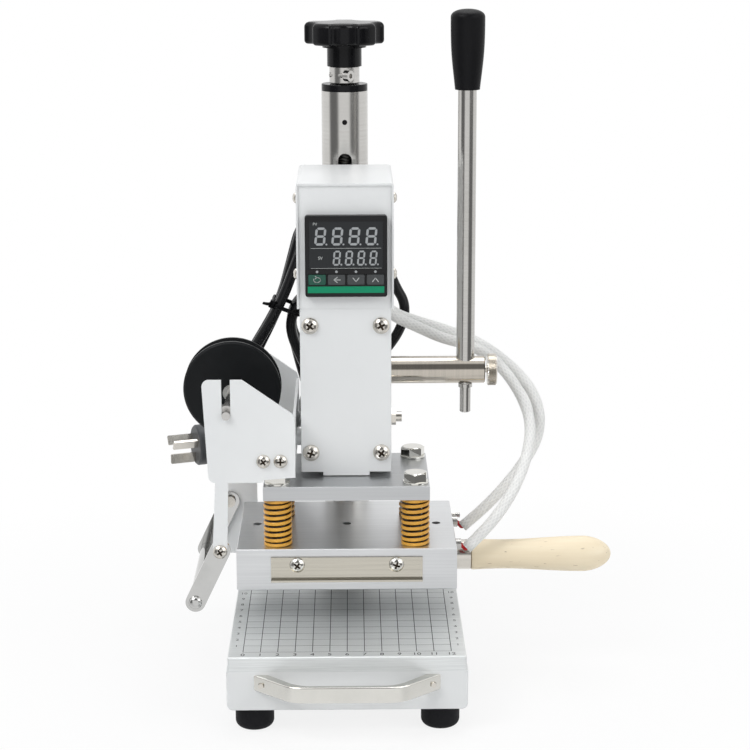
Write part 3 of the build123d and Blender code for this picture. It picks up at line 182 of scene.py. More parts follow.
sleeveLook = {
    "white": (0.90, 0.90, 0.88), "valleyShade": (0.76, 0.76, 0.75), "weave": 900.0, "fuzz": 1500.0, "clouds": 26.0,
    "height": 0.0003,
}
threadLook = {
    "pitch": 0.002, "axis": (0.0, 0.092), "light": (0.60, 0.59, 0.56), "dark": (0.30, 0.295, 0.28),
    "oil": 60.0,
}


def whitePaint(name, tone=1.0):
    look = paintLook
    white, shade = (tuple(tone * c for c in look[key]) for key in ("white", "shade"))
    f = Finish(name, IOR=1.5, Specular_IOR_Level=0.5)
    where = f.place()
    clouds = f.noise(where, look["clouds"], 4.0)
    specks = f.noise(where, look["specks"], 5.0, 0.65)
    grime = f.spread(specks, 0.0, 0.35, 0.62, 0.78)
    f.tint(f.spread(clouds, 0.0, 0.7, 0.35, 0.75) + grime * 0.25, white, shade)
    f.wear(clouds * 0.7 + specks * 0.3, look["rough"])
    f.bump(f.noise(where, look["peel"], 2.0), 0.20, look["peelHeight"])
    return f.material


# Fine marks drawn or milled along one axis, or rings about it from a lathe with a little runout
def workedMetal(name, kind, light, dark, rough, axis, across, along, depth):
    look = metalLooks[kind]
    f = Finish(name, Metallic=look["metal"])
    stretch = [across] * 3
    stretch["XYZ".index(axis)] = along
    fine = f.noise(f.place(stretch), 1.0, *look["fine"])
    clouds, stains = (f.noise(f.place(), *look[key]) for key in ("clouds", "stains"))
    marks, worn, cloudy = look["shares"]
    f.tint(f.spread(fine, 0.0, *look["marked"]) * marks + f.spread(stains, 0.0, *look["stained"]), light, dark)
    f.wear(fine * worn + clouds * cloudy, rough)
    f.bump(fine, depth, look["height"])
    return f.material


# Plating or polish: nearly clean, with faint handling marks, and painted shade, dark and rougher, where a face is
# marked as a pit
def plated(name, colour, rough, marks=0.5):
    look = plateLook
    f = Finish(name, Metallic=1.0)
    pit = f.node("ShaderNodeAttribute", {"attribute_name": "pit"}, None, "Fac")
    haze = f.noise(f.place(), look["haze"], 4.0, 0.6)
    scratch = f.noise(f.place(look["scratches"]), 1.0, 3.0)
    dark = tuple(look["shade"] * c for c in colour)
    # Where a face is marked as a pit, the colour goes over to painted shade
    f.tint(pit, f.blend(f.spread(haze, 0.0, marks, 0.4, 0.8), colour, dark), look["recessShade"])
    f.set("Roughness", f.spread(haze * 0.6 + scratch * 0.4, *rough, 0.3, 0.7) + pit * 0.35)
    f.bump(scratch, 0.08, look["height"])
    return f.material


def moulded(name, colour, rough, grain=1400.0, height=0.00004, dust=0.02, shine=0.28):
    look = mouldLook
    f = Finish(name, IOR=1.48, Specular_IOR_Level=shine)
    pores = f.noise(f.place(), grain, 2.0)
    clouds = f.noise(f.place(), look["clouds"], 4.0)
    f.tint(f.spread(clouds, 0.0, 0.55, 0.45, 0.8), colour, tuple(c + dust for c in colour))
    f.wear(clouds * 0.5 + pores * 0.5, rough)
    f.bump(pores, look["depth"], height)
    return f.material


def springPaint(name):
    look = springLook
    f = Finish(name, IOR=1.5)
    clouds = f.noise(f.place(), look["clouds"], 4.0)
    chips = f.noise(f.place(), look["chips"], 3.0, 0.7)
    worn = f.spread(chips, 0.0, 1.0, 0.70, 0.76)
    x = f.node("ShaderNodeSeparateXYZ", None, {0: f.place()})
    fromX = x.math("ABSOLUTE") - pressLook["boltX"] / 1000
    fromY = x.other(1).math("ABSOLUTE") - pressLook["boltY"] / 1000
    radius = (fromX * fromX + fromY * fromY).math("SQRT")
    coilShade = f.spread(radius, 1.0, 0.0, look["inner"], look["outer"])  # painted shade between the coils: all of the wire but its outer rim
    colour = f.blend(f.spread(clouds, 0.0, 0.8, 0.35, 0.75), look["yellow"], look["dark"])
    f.tint(coilShade, f.blend(worn * 0.6, colour, look["chip"]), look["gap"])
    f.wear(clouds, look["rough"])
    f.bump(chips, 0.15, look["height"])
    return f.material


def turnedWood(name):
    look = woodLook
    f = Finish(name, IOR=1.5)
    grain = f.noise(f.place(look["fibres"]), 1.0, 6.0, 0.62)
    bands = f.noise(f.place(look["bands"]), 1.0, 3.0)
    pores = f.noise(f.place(look["pores"]), 1.0, 2.0)
    flecks = f.spread(f.noise(f.place(look["flecks"]), 1.0, 2.0), 0.0, 1.0, 0.70, 0.76)
    colour = f.blend(f.spread(grain * 0.6 + bands * 0.4, 0.0, 0.75, 0.38, 0.66), look["pale"], look["grain"])
    f.tint(flecks * 0.7, colour, look["fleck"])
    f.wear(grain, look["rough"])
    f.bump(pores * 0.6 + grain * 0.4, 0.30, look["height"])
    return f.material


# Braided glass-fibre sleeve: the tube's own UV map carries the weave, u in metres along it; the weave's low places
# get painted shade
def wovenSleeve(name, girth):
    look = sleeveLook
    f = Finish(name, Sheen_Weight=0.15)
    across, along = girth * look["weave"], look["weave"] * 0.5
    u = f.node("ShaderNodeSeparateXYZ", None, {0: f.node("ShaderNodeUVMap")})
    v = u.other(1)
    first = (u * along * pi + v * across * pi).math("SINE")
    second = (u * along * pi - v * across * pi).math("SINE")
    fuzz = f.noise(f.place(), look["fuzz"], 3.0)
    clouds = f.noise(f.place(), look["clouds"], 3.0)
    height = first.math("MAXIMUM", second) * 0.6 + fuzz * 0.4
    # Painted shade where the weave is low, plus random clouds of darker tone
    share = f.spread(height, 0.75, 0.0, 0.0, 0.8) + f.spread(clouds, 0.0, 0.25, 0.45, 0.75)
    f.tint(share, look["white"], look["valleyShade"])
    f.set("Roughness", f.spread(fuzz, 0.65, 0.85))
    f.bump(height, 0.5, look["height"])
    return f.material


# A screw thread as a helical wave round an upright axis: it carves the bump and paints the colour, with painted
# highlight on the crests and painted shade in the roots
def threadMetal(name):
    look = threadLook
    f = Finish(name, Metallic=1.0)
    x = f.node("ShaderNodeSeparateXYZ", None, {0: f.place(shift=(-look["axis"][0], -look["axis"][1], 0))})
    y, z = x.other(1), x.other(2)
    wave = (z * (2 * pi / look["pitch"]) + y.math("ARCTAN2", x)).math("SINE")
    oil = f.noise(f.place(), look["oil"], 4.0)
    # Painted highlight on the crests and painted shade in the roots, varied by the oil's random tone
    f.tint(f.spread(wave * 0.5 + oil, 0.0, 1.0, 0.1, 0.9), look["dark"], look["light"])
    f.set("Roughness", f.spread(oil, 0.22, 0.38))
    f.bump(wave, 1.0, look["pitch"] * 0.25)
    return f.material


# Each finish by its function, name and values, and the nodes that wear it; metal ends with its marks' scales
# across and along the axis, and their depth
steelLook = ((0.60, 0.59, 0.57), (0.44, 0.43, 0.42), (0.18, 0.32))
drawn, lathed = (1540.0, 15.4, 0.22), (14.0, 1500.0, 0.2)
finishes = (
    (workedMetal, "steelY", ("drawn", *steelLook, "Y", *drawn), "moving_rails"),
    (workedMetal, "steelZ", ("drawn", *steelLook, "Z", *drawn), "ram_bar"),
    (workedMetal, "aluminiumX", ("drawn", (0.72, 0.73, 0.74), (0.60, 0.61, 0.62), (0.26, 0.42), "X", *drawn),
     "heating_block die_plate"),
    (workedMetal, "plateAluminium", ("drawn", (0.56, 0.57, 0.58), (0.46, 0.47, 0.48), (0.26, 0.40), "X", *drawn),
     "upper_plate"),
    (workedMetal, "keeperSteel",
     ("drawn", (0.58, 0.55, 0.48), (0.47, 0.45, 0.39), (0.16, 0.26), "X", 1320.0, 13.2, 0.22), "keeper_plate"),
    (workedMetal, "tableMetal",
     ("milled", (0.80, 0.82, 0.82), (0.66, 0.68, 0.68), (0.34, 0.52), "X", 1700.0, 40.0, 0.18), "table_plate"),
    (workedMetal, "turnedSteelX", ("turned", *steelLook, "X", *lathed), "pinion heater_cartridges"),
    (workedMetal, "turnedSteelY", ("turned", *steelLook, "Y", *lathed), "spool_shaft"),
    (workedMetal, "turnedSteelZ", ("turned", *steelLook, "Z", *lathed), "column_flange base_screws adjust_collar"),
    (workedMetal, "columnSteel",
     ("turned", (0.60, 0.59, 0.57), (0.50, 0.49, 0.47), (0.14, 0.22), "Z", 14.0, 900.0, 0.12), "column_tube"),
    (workedMetal, "shaftNickel",
     ("turned", (0.54, 0.50, 0.44), (0.44, 0.41, 0.36), (0.08, 0.14), "X", 14.0, 1200.0, 0.08), "lever_shaft"),
    (workedMetal, "rodSteel",
     ("turned", (0.56, 0.55, 0.53), (0.46, 0.45, 0.43), (0.12, 0.20), "Z", 14.0, 1700.0, 0.08), "lever_rod"),
    (threadMetal, "heightThread", (), "lead_screw"),
    (whitePaint, "whiteEnamel", (),
     "base_pan rear_deck table_front head_casting front_cover control_box control_panel"),
    (whitePaint, "bracketEnamel", (1.04,), "foil_front_plate foil_bracket"),
    (plated, "nickelPlate", ((0.66, 0.63, 0.58), (0.14, 0.24)),
     "handle_screws ram_lock_screw die_ferrule plug_pins"),
    (plated, "chromePlate", ((0.70, 0.69, 0.65), (0.05, 0.12)), "pull_handle"),
    (plated, "polishedSteel", ((0.56, 0.56, 0.55), (0.04, 0.10), 0.8), "guide_arm guide_roller"),
    (plated, "bronze", ((0.62, 0.45, 0.20), (0.25, 0.4)), "shaft_bushes lift_nut"),
    (moulded, "blackGloss", ((0.006, 0.006, 0.007), (0.14, 0.24), 300.0, 0.00003, 0.004, 0.18),
     "column_cap star_knob power_rocker"),
    (moulded, "blackMatte", ((0.007, 0.007, 0.008), (0.34, 0.48), 1400.0, 0.00004, 0.004, 0.10),
     "power_switch cord_glands lever_grip"),
    (moulded, "blackDisc", ((0.008, 0.009, 0.010), (0.30, 0.44), 900.0, 0.00004, 0.008, 0.14), "spool_disc"),
    (moulded, "footRubber", ((0.007, 0.007, 0.009), (0.55, 0.75), 700.0, 0.0001, 0.008, 0.18), "rubber_feet"),
    (moulded, "cordSkin", ((0.006, 0.006, 0.007), (0.16, 0.26), 420.0, 0.00003, 0.003, 0.24), ""),
    (moulded, "plugGrey", ((0.060, 0.063, 0.067), (0.34, 0.5), 800.0), "mains_plug"),
    (moulded, "bezelBlack", ((0.007, 0.007, 0.008), (0.26, 0.4), 1500.0, 0.00004, 0.006), "controller_body"),
    (moulded, "windowDark", ((0.016, 0.018, 0.020), (0.12, 0.2), 200.0, 0.00001, 0.006), "display_window"),
    (moulded, "keyGrey", ((0.060, 0.064, 0.066), (0.4, 0.55), 1500.0), "key_shift key_down key_up"),
    (moulded, "keyGreen", ((0.020, 0.085, 0.060), (0.4, 0.55), 1500.0), "key_set"),
    (moulded, "bandGreen", ((0.002, 0.250, 0.120), (0.32, 0.45), 1500.0, 0.00004, 0.006), ""),
    (moulded, "digitGrey", ((0.36, 0.375, 0.385), (0.35, 0.5), 1500.0, 0.00001, 0.03), ""),
    (moulded, "markWhite", ((0.52, 0.54, 0.53), (0.45, 0.6), 1500.0, 0.00001, 0.03), ""),
    (moulded, "inkBlack", ((0.022, 0.022, 0.024), (0.4, 0.6), 1500.0, 0.00001, 0.03), ""),
    (moulded, "wireRed", ((0.46, 0.012, 0.014), (0.25, 0.4), 900.0, 0.00003, 0.03), ""),
    (springPaint, "springEnamel", (), ""),
    (turnedWood, "turnedBeech", (), "die_handle"),
)
materialOf = {}
for make, finish, values, wearers in finishes:
    materialOf[finish] = make(finish, *values)
    for name in wearers.split():
        nodes[name].data.materials.clear()
        nodes[name].data.materials.append(materialOf[finish])
print("finishes made:", len(materialOf))


def metres(point):
    return Vector(point) / 1000


def linked(name, data):
    made = bpy.data.objects.new(name, data)
    bpy.context.scene.collection.objects.link(made)
    return made


# The mesh of an object with its curve, text or modifiers worked out
def settled(holder):
    bpy.context.view_layer.update()
    return bpy.data.meshes.new_from_object(holder.evaluated_get(bpy.context.evaluated_depsgraph_get()))


def addPiece(name, mesh, body, finish):
    mesh.name = name
    mesh.materials.clear()
    mesh.materials.append(materialOf[finish])
    piece = linked(name, mesh)
    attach(piece, body)
    return piece


def meshOf(vertices, faces):
    mesh = bpy.data.meshes.new("shape")
    mesh.from_pydata([metres(v) for v in vertices], [], faces)
    mesh.update()
    return mesh


# Rings of equal count joined in order, closed at both ends or end to end in a loop
def skin(rings, loop=False):
    count, last = len(rings[0]), len(rings) - 1
    faces = []
    for k in range(len(rings) if loop else last):
        here, after = k * count, (k + 1) % len(rings) * count
        for i in range(count):
            j = (i + 1) % count
            faces.append((here + i, here + j, after + j, after + i))
    if not loop:
        faces.append(tuple(reversed(range(count))))
        faces.append(tuple(range(last * count, (last + 1) * count)))
    mesh = meshOf([p for ring in rings for p in ring], faces)
    clean = bmesh.new()
    clean.from_mesh(mesh)
    bmesh.ops.remove_doubles(clean, verts=clean.verts, dist=1e-6)
    bmesh.ops.recalc_face_normals(clean, faces=clean.faces)
    clean.to_mesh(mesh)
    clean.free()
    return mesh


def circle(radius, steps):
    return [(radius * cos(2 * pi * k / steps), radius * sin(2 * pi * k / steps)) for k in range(steps)]


def turned(profile, steps=40):
    return skin([[(x, y, z) for x, y in circle(radius, steps)] for radius, z in profile])


def joined(meshes):
    whole = bmesh.new()
    for mesh in meshes:
        whole.from_mesh(mesh)
    mesh = bpy.data.meshes.new("shape")
    whole.to_mesh(mesh)
    whole.free()
    return mesh


# A flat outline in x and z, made a thin slab facing the operator at the plane y
def frontSlab(outline, y, thick):
    return skin([[(x, y + thick, z) for x, z in outline], [(x, y, z) for x, z in outline]])


def topSlab(outline, z, thick):
    return skin([[(x, y, z) for x, y in outline], [(x, y, z + thick) for x, y in outline]])


def rectangle(x0, x1, y0, y1):
    return [(x0, y0), (x1, y0), (x1, y1), (x0, y1)]


def lettering(text, size, place, turn=Matrix.Identity(4), thick=0.05):
    curve = bpy.data.curves.new("lettering", "FONT")
    curve.body = text
    curve.size = size / 1000
    curve.extrude = thick / 2000
    curve.align_x = "CENTER"
    curve.align_y = "CENTER"
    curve.resolution_u = 3
    holder = linked("lettering", curve)
    mesh = settled(holder)
    bpy.data.objects.remove(holder)
    mesh.transform(Matrix.Translation(metres(place)) @ turn)
    return mesh


cameraLook = {
    "place": (3.5, -1179.4, 472.7), "focal": 96.9, "turns": ((-0.679, "Z"), (76.525, "X"), (-0.164, "Z")),
}


def addCamera():
    data = bpy.data.cameras.new("camera")
    data.lens = cameraLook["focal"]
    data.sensor_width = 36.0
    data.clip_start = 0.05
    data.clip_end = 60.0
    camera = linked("camera", data)
    camera.matrix_world = Matrix.Translation(metres(cameraLook["place"]))
    for angle, axis in cameraLook["turns"]:
        camera.matrix_world = camera.matrix_world @ Matrix.Rotation(radians(angle), 4, axis)
    bpy.context.scene.camera = camera


addCamera()
print("camera placed")


# The hank lies in leaning layers behind the column: s runs across it and t up it
mainsLook = {
    "diameter": 6.8, "x": -40.4, "z": 206.0, "layer": 118.5, "pitch": 7.4, "lean": radians(24.5), "turns": 4,
    "top": 49.0, "foot": 53.0, "fold": 24.6, "shift": 14.0, "loose": 2.2, "sway": (1.7, 0.6),
    "rise": (2.3, 1.0), "swell": (2.1, 0.3), "waist": 3.4, "pinch": 7.7, "inlet": (75.0, -1.0), "ease": 28.0,
    "turn": radians(88), "corners": 3, "foldCorners": (4, 5), "bend": radians(7.0), "footBend": -0.2,
    "aside": (-2.0, -2.5, 4.5, -5.0), "arrive": 36, "leave": (46, 66),
}
mainsRoute = [
    (21.5, 92, 262), (22.9, 108, 262), (26.4, 123, 256), (27.4, 133, 243), (28.2, 137, 230),
    (32.8, 137.5, 217.5), (39.2, 136.5, 207), (38.4, 135, 194.5), (31.0, 132.5, 181), (19.5, 128.5, 169.5),
    (5.0, 123.5, 158.5),
]
tailRoute = [(-32.6, 148.3, 126.5), (-42.5, 147.3, 116), (-55.2, 142.3, 112.3)]
plugLook = {"face": (-101, 120, 114), "turn": radians(20), "back": 26.0, "neck": 13.0}


def leaning(s, t, y, lean):
    look = mainsLook
    return Vector((look["x"] + s * cos(lean) + t * sin(lean), y, look["z"] - s * sin(lean) + t * cos(lean)))


def hankPoint(s, t, layer):
    look = mainsLook
    bend = look["bend"] * (1.0 if t > 0 else look["footBend"])  # it bends where the tie holds it
    return leaning(s, t, look["layer"] + layer * look["pitch"], look["lean"] + bend)


# Centre, radius and layer of one fold: the loose ends of the turns differ in size
def hankFold(j):
    look = mainsLook
    loose = look["loose"]
    (sway, swayStart), (rise, riseStart), (swell, share) = look["sway"], look["rise"], look["swell"]
    along = look["top"] if j % 2 else -look["foot"]
    return (look["shift"] + loose * sin(sway * j + swayStart) + look["aside"][j % 4],
            along + loose * sin(rise * j + riseStart), look["fold"] + share * loose * sin(swell * j),
            (j + 1) // 2)


# Where the run after fold j passes under the tie: up on the left, or down on the right, which the tie draws in
def hankWaist(j):
    look = mainsLook
    if j % 2:
        return look["waist"] - look["pinch"], 0.0, (j + 1) // 2
    return -look["waist"], 0.0, (j + 1) // 2 + 0.5


def foldPoints(j, before, after):
    s, t, radius, layer = hankFold(j)
    angles = []
    for (ps, pt), side in ((before, -1), (after, 1)):
        reach = sqrt((ps - s) ** 2 + (pt - t) ** 2)
        angles.append(atan2(pt - t, ps - s) + side * acos(radius / reach))
    turn = (angles[0] - angles[1]) % (2 * pi)
    corners = mainsLook["foldCorners"][j > 0]
    half = turn / corners / 2
    wide = radius / cos(half)
    steps = [angles[0] - half * (2 * k + 1) for k in range(-1, corners + 1)]
    return [hankPoint(s + wide * cos(a), t + wide * sin(a), layer) for a in steps]


# Up on the left the run is nearly straight; down on the right it bends round the tie
def waistPoints(j):
    look = mainsLook
    s, t, layer = hankWaist(j)
    if j % 2 == 0:
        return [hankPoint(s, t, layer)]
    step = look["turn"] / look["corners"]
    wide = look["ease"] / cos(step / 2)
    centre = s + look["ease"] / cos(look["turn"] / 2)
    angles = [look["turn"] / 2 - step * (k + 0.5) for k in range(look["corners"])]
    return [hankPoint(centre - wide * cos(a), wide * sin(a), layer) for a in angles]


def hankPoints():
    look = mainsLook
    points = []
    for j in range(2 * look["turns"]):
        before = hankWaist(j - 1)[:2] if j else look["inlet"]
        points += foldPoints(j, before, hankWaist(j)[:2]) + waistPoints(j)
    return points


def plugPoint(along):
    look = plugLook
    return Vector(look["face"]) + along * Vector((-cos(look["turn"]), -sin(look["turn"]), 0))


# The whole lead: down from the gland, round the hank and on to the plug
def mainsPoints():
    look = mainsLook
    hank = hankPoints()
    arrive = (hank[1] - hankPoint(*look["inlet"], 0)).normalized()
    s, t, radius, _ = hankFold(2 * look["turns"])
    last = hankPoint(*hankWaist(2 * look["turns"] - 1))
    leave = (hankPoint(s + radius, t, look["turns"]) - last).normalized()
    points = [Vector(p) for p in mainsRoute] + [hank[1] - look["arrive"] * arrive] + hank
    points += [last + reach * leave for reach in look["leave"]] + [Vector(p) for p in tailRoute]
    return points + [plugPoint(-plugLook["back"] - plugLook["neck"]), plugPoint(-plugLook["back"])]


def cordCurve(name, points, diameter, finish=None):
    curve = bpy.data.curves.new(name, "CURVE")
    curve.dimensions = "3D"
    curve.bevel_depth = diameter / 2000
    curve.bevel_resolution = 5
    curve.use_fill_caps = True
    curve.resolution_u = 6
    spline = curve.splines.new("NURBS")
    spline.points.add(len(points) - 1)
    for point, place in zip(spline.points, points):
        point.co = (*metres(place), 1)
    spline.order_u = 3
    spline.use_endpoint_u = True
    curve.materials.append(materialOf.get(finish))
    return linked(name, curve)


def splinePath(points):
    line = cordCurve("line", points, 0.0)
    mesh = settled(line)
    path = [v.co * 1000 for v in mesh.vertices]
    bpy.data.objects.remove(line)
    bpy.data.meshes.remove(mesh)
    return path


# Rings carried along a path without twist; u runs along it in metres and v once round
def sweptTube(path, radius, flat=1.0, steps=20):
    tangents = [(b - a).normalized() for a, b in zip(path[:1] + path[:-1], path[1:] + path[-1:])]
    side = tangents[0].orthogonal().normalized()
    rings, lengths, length = [], [], 0.0
    for k, (place, along) in enumerate(zip(path, tangents)):
        side = (side - side.dot(along) * along).normalized()
        other = along.cross(side)
        length += (place - path[k - 1]).length if k else 0.0
        lengths.append(length)
        rings.append([place + radius * (x * side + flat * y * other) for x, y in circle(1.0, steps)])
    mesh = skin(rings)
    layer = mesh.uv_layers.new(name="UVMap")
    for face in mesh.polygons:
        if len(face.vertices) != 4:
            continue
        columns = [v % steps for v in face.vertices]
        wraps = 0 in columns and steps - 1 in columns
        for loop, vertex, column in zip(face.loop_indices, face.vertices, columns):
            v = 1.0 if wraps and column == 0 else column / steps
            layer.data[loop].uv = (lengths[vertex // steps] / 1000, v)
    mesh.shade_smooth()
    return mesh


mainsLine = mainsPoints()
mainsCord = cordCurve("mainsCord", mainsLine, mainsLook["diameter"], "cordSkin")
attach(mainsCord, "head")
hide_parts("mains_cord", "mains_hank", "mains_tail")
mainsPath = splinePath(mainsLine)

# Each lead runs between the box and the ram, and its wires between the ram and the floating block
leadLook = {"diameter": 7.0, "flat": 0.94, "hung": (40, 60, 212), "held": (90, 20, 95)}
wireLook = {
    "diameter": 2.3, "spread": 1.3, "splay": 1.2, "tuck": 3.0, "stub": 0.6, "knee": (70.9, 84.6),
    "bore": (68.2, 86), "hung": (76, 14, 86), "held": (69.6, 14, 86),
}
leads = (
    {"name": "rearLead", "node": "heater_lead_rear", "heater": 36.5, "route": [
        (21.5, 62.1, 234), (21.5, 62.1, 227.5), (24.2, 62, 221), (31, 62.8, 214.5), (44, 64.5, 209.5),
        (61, 66, 204), (82, 68, 196), (101, 68, 183), (116, 64, 168), (123, 58, 152), (121, 51, 135),
        (109, 44, 118.5), (96.5, 39.5, 104.5), (84, 36.5, 92.5), (72.7, 35.2, 83.2)]},
    {"name": "frontLead", "node": "heater_lead_front", "heater": -8.0, "route": [
        (21.5, 52.7, 234), (21.5, 52.7, 227.5), (24.2, 53, 221), (31, 54, 214), (44, 55.5, 208),
        (60, 57, 200), (76, 58, 196), (90, 57, 189), (102, 53, 177), (111, 46, 163), (115.5, 38, 149),
        (112.5, 26, 133), (105, 12.5, 118), (95, 1, 105), (84, -5, 93.3), (72.7, -8.6, 83.2)]},
)
for lead in leads:
    name = lead["name"]
    path = splinePath(lead["route"])
    mesh = sweptTube(path, leadLook["diameter"] / 2, leadLook["flat"])
    mesh.materials.append(wovenSleeve(name + "Sleeve", pi * leadLook["diameter"] / 1000))
    sleeve = linked(name, mesh)
    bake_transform(sleeve)
    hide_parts(lead["node"])


# Two red conductors from each sleeve's cut end into its heater
def wireEnds():
    look = wireLook
    meshes = []
    for lead in leads:
        before, end = (Vector(p) for p in lead["route"][-2:])
        inward = (before - end).normalized()
        knee, bore = (Vector((x, lead["heater"], z)) for x, z in (look["knee"], look["bore"]))
        for side in (-1, 1):
            aside = Vector((0, side * look["spread"], 0))
            line = [end + look["tuck"] * inward + aside, end - look["stub"] * inward + aside * look["splay"],
                    knee + aside, bore + aside]
            meshes.append(sweptTube(splinePath(line), look["diameter"] / 2, 1.0, 16))
    return joined(meshes)


wires = wireEnds()
wires.materials.append(materialOf["wireRed"])
wires = linked("wireEnds", wires)
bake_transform(wires)


# Flat-wire die springs with closed, ground ends, between the ram and the block
coilLook = {
    "outer": 8.5, "deep": 3.2, "wire": 1.95, "edge": 0.35, "coils": 9.5, "dead": 2.0, "ground": 0.2,
    "steps": 44, "keep": 0.896,
}


def dieSpring(x, y):
    look = coilLook
    foot, top = pressLook["springFoot"], pressLook["springTop"]
    coils, dead, sunk = look["coils"], look["dead"], look["ground"] * look["wire"]
    rise = top - foot + 2 * sunk
    pitch = (rise - 2 * dead) / (coils - 2)
    outer, inner, half, edge = look["outer"], look["outer"] - look["deep"], look["wire"] / 2, look["edge"]
    section = [(outer - edge, -half), (outer, edge - half), (outer, half - edge), (outer - edge, half),
               (inner + edge, half), (inner, half - edge), (inner, edge - half), (inner + edge, -half)]
    rings = []
    for k in range(int(coils * look["steps"]) + 1):
        turn = k / look["steps"]
        fromEnd = min(turn, coils - turn)
        climb = dead * min(fromEnd, 1.0) + pitch * max(0.0, fromEnd - 1.0)
        middle = foot - sunk + (climb if turn < coils / 2 else rise - climb)
        a = 2 * pi * turn
        rings.append([(x + r * cos(a), y + r * sin(a), min(max(middle + z, foot), top)) for r, z in section])
    return skin(rings)


springs = joined([dieSpring(x, y) for x, y in boltAxes])
springs = addPiece("dieSprings", springs, "ram", "springEnamel")
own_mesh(springs)
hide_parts("die_springs")
print("springs wound")


# The tie's cross-section in shares of its thickness and width, and the outline of its lock and tail
tieLook = {
    "wide": 2.6, "thick": 1.2, "slack": 0.35, "near": 20, "steps": 96,
    "band": ((0.0, 0.5), (0.0, -0.5), (0.75, -0.5), (1.0, -0.32), (1.0, 0.32), (0.75, 0.5)),
    "block": (4.6, 3.2, 5.0), "at": 2.6, "gap": 0.4, "left": 0.6,
    "lock": ((-0.5, 0.82), (-0.38, 1.0), (0.38, 1.0), (0.5, 0.82)), "tail": 9.0, "pieces": 6, "curl": 0.06,
    "thin": 0.4, "taper": 0.03, "inset": 0.8,
}


# Where the strands pass through the tie: across the hank and back from the front
def tiedStrands():
    look = mainsLook
    marks = []
    for a, b in zip(mainsPath, mainsPath[1:]):
        ends = []
        for p in (a, b):
            x, z = p.x - look["x"], p.z - look["z"]
            ends.append((x * cos(look["lean"]) - z * sin(look["lean"]),
                         x * sin(look["lean"]) + z * cos(look["lean"]), p.y))
        (s0, t0, y0), (s1, t1, y1) = ends
        if t0 * t1 <= 0 and abs(s0) < tieLook["near"]:
            share = t0 / (t0 - t1)
            marks.append((s0 + (s1 - s0) * share, y0 + (y1 - y0) * share))
    return marks


# A band drawn round the strands, its square lock on the left and the cut tail standing out
def cableTie(marks):
    look = tieLook
    lean = mainsLook["lean"]
    hold = mainsLook["diameter"] / 2 + look["slack"]
    rings = []
    for out in circle(1.0, look["steps"]):
        s, y = max(marks, key=lambda m: m[0] * out[0] + m[1] * out[1])
        reaches = [(hold + far * look["thick"], t * look["wide"]) for far, t in look["band"]]
        rings.append([leaning(s + reach * out[0], t, y + reach * out[1], lean) for reach, t in reaches])
    band = skin(rings, loop=True)
    s, y = min(marks, key=lambda m: m[0] + m[1] * look["left"])
    long, deep, tall = look["block"]
    s, y = s - hold - look["thick"] / 2 - look["gap"], y - look["at"]
    rings = []
    for share, size in look["lock"]:
        corners = rectangle(-size * deep / 2, size * deep / 2, -size * long / 2, size * long / 2)
        rings.append([leaning(s + a, share * tall, y + b, lean) for a, b in corners])
    lock = skin(rings)
    rings = []
    for k in range(look["pieces"] + 1):
        reach = look["tail"] * k / look["pieces"]
        thick, wide = look["thick"] * look["thin"], look["wide"] * (0.5 - look["taper"] * k)
        middle = s - look["inset"] - look["curl"] * reach * reach
        corners = rectangle(-thick, thick, -wide, wide)
        rings.append([leaning(middle + a, b, y - reach, lean) for a, b in corners])
    return joined([band, lock, skin(rings)])


strands = tiedStrands()
addPiece("cableTie", cableTie(strands), "head", "blackMatte")
print("cable tie drawn round", len(strands), "strands")


# A cross-slotted pan screw of unit head radius, its seat at z = 0
screwLook = {
    "shank": 0.40, "below": -0.6, "seat": -0.02, "brim": 0.16, "dome": 0.62, "fall": 0.75, "round": 1.25,
    "arm": 0.14, "reach": 0.58, "foot": 0.22, "sunk": 0.36, "narrow": 0.75, "pit": 0.62, "grown": 100,
}


def crossScrew():
    look = screwLook
    brim, top = look["brim"], look["dome"]
    profile = [(0.0, look["below"]), (look["shank"], look["below"]), (look["shank"], look["seat"]),
               (1.0, look["seat"]), (1.0, brim)]
    for t in (k / 8 for k in range(1, 9)):
        profile.append((1.0 - look["fall"] * t ** look["round"], brim + (top - brim) * sin(t * pi / 2)))
    profile.append((0.0, top))
    parts = [turned(profile, 48)]
    for along in (0, 1):
        rings = []
        for z, reach, wide in ((top - look["sunk"], look["foot"], look["arm"] * look["narrow"]),
                               (top + 0.05, look["reach"], look["arm"])):
            corners = rectangle(-reach, reach, -wide, wide)
            rings.append([(y, x, z) if along else (x, y, z) for x, y in corners])
        parts.append(skin(rings))
    holders = []
    for mesh in parts:
        mesh.transform(Matrix.Scale(look["grown"], 4))  # the cut needs room above its own tolerance
        holders.append(linked("screwPart", mesh))
    for cutter in holders[1:]:
        cut = holders[0].modifiers.new("cross", "BOOLEAN")
        cut.operation = "DIFFERENCE"
        cut.solver = "EXACT"
        cut.object = cutter
    mesh = settled(holders[0])
    for holder in holders:
        bpy.data.objects.remove(holder)
    mesh.transform(Matrix.Scale(1 / look["grown"], 4))
    # Faces in the cross recess are marked as a pit, where plated() paints shade
    mesh.attributes.new("pit", "FLOAT", "FACE")
    for face in mesh.polygons:
        x, y, z = face.center * 1000
        away = sqrt(x * x + y * y)
        slope = min(1.0, max(0.0, (1.0 - away) / look["fall"])) ** (1 / look["round"])
        crown = brim + (top - brim) * sin(slope * pi / 2)
        mesh.attributes["pit"].data[face.index].value = float(away < look["pit"] and -0.1 < z < crown - 0.05)
    return mesh


# A hex head with a turned chamfer on its washer, and its shank below
boltLook = {
    "flats": 13.0, "head": 5.3, "washer": 7.6, "thick": 1.4, "shank": 4.0, "below": 48.4, "crown": 0.93,
    "fall": 0.55, "edge": 0.18, "steps": 72,
}


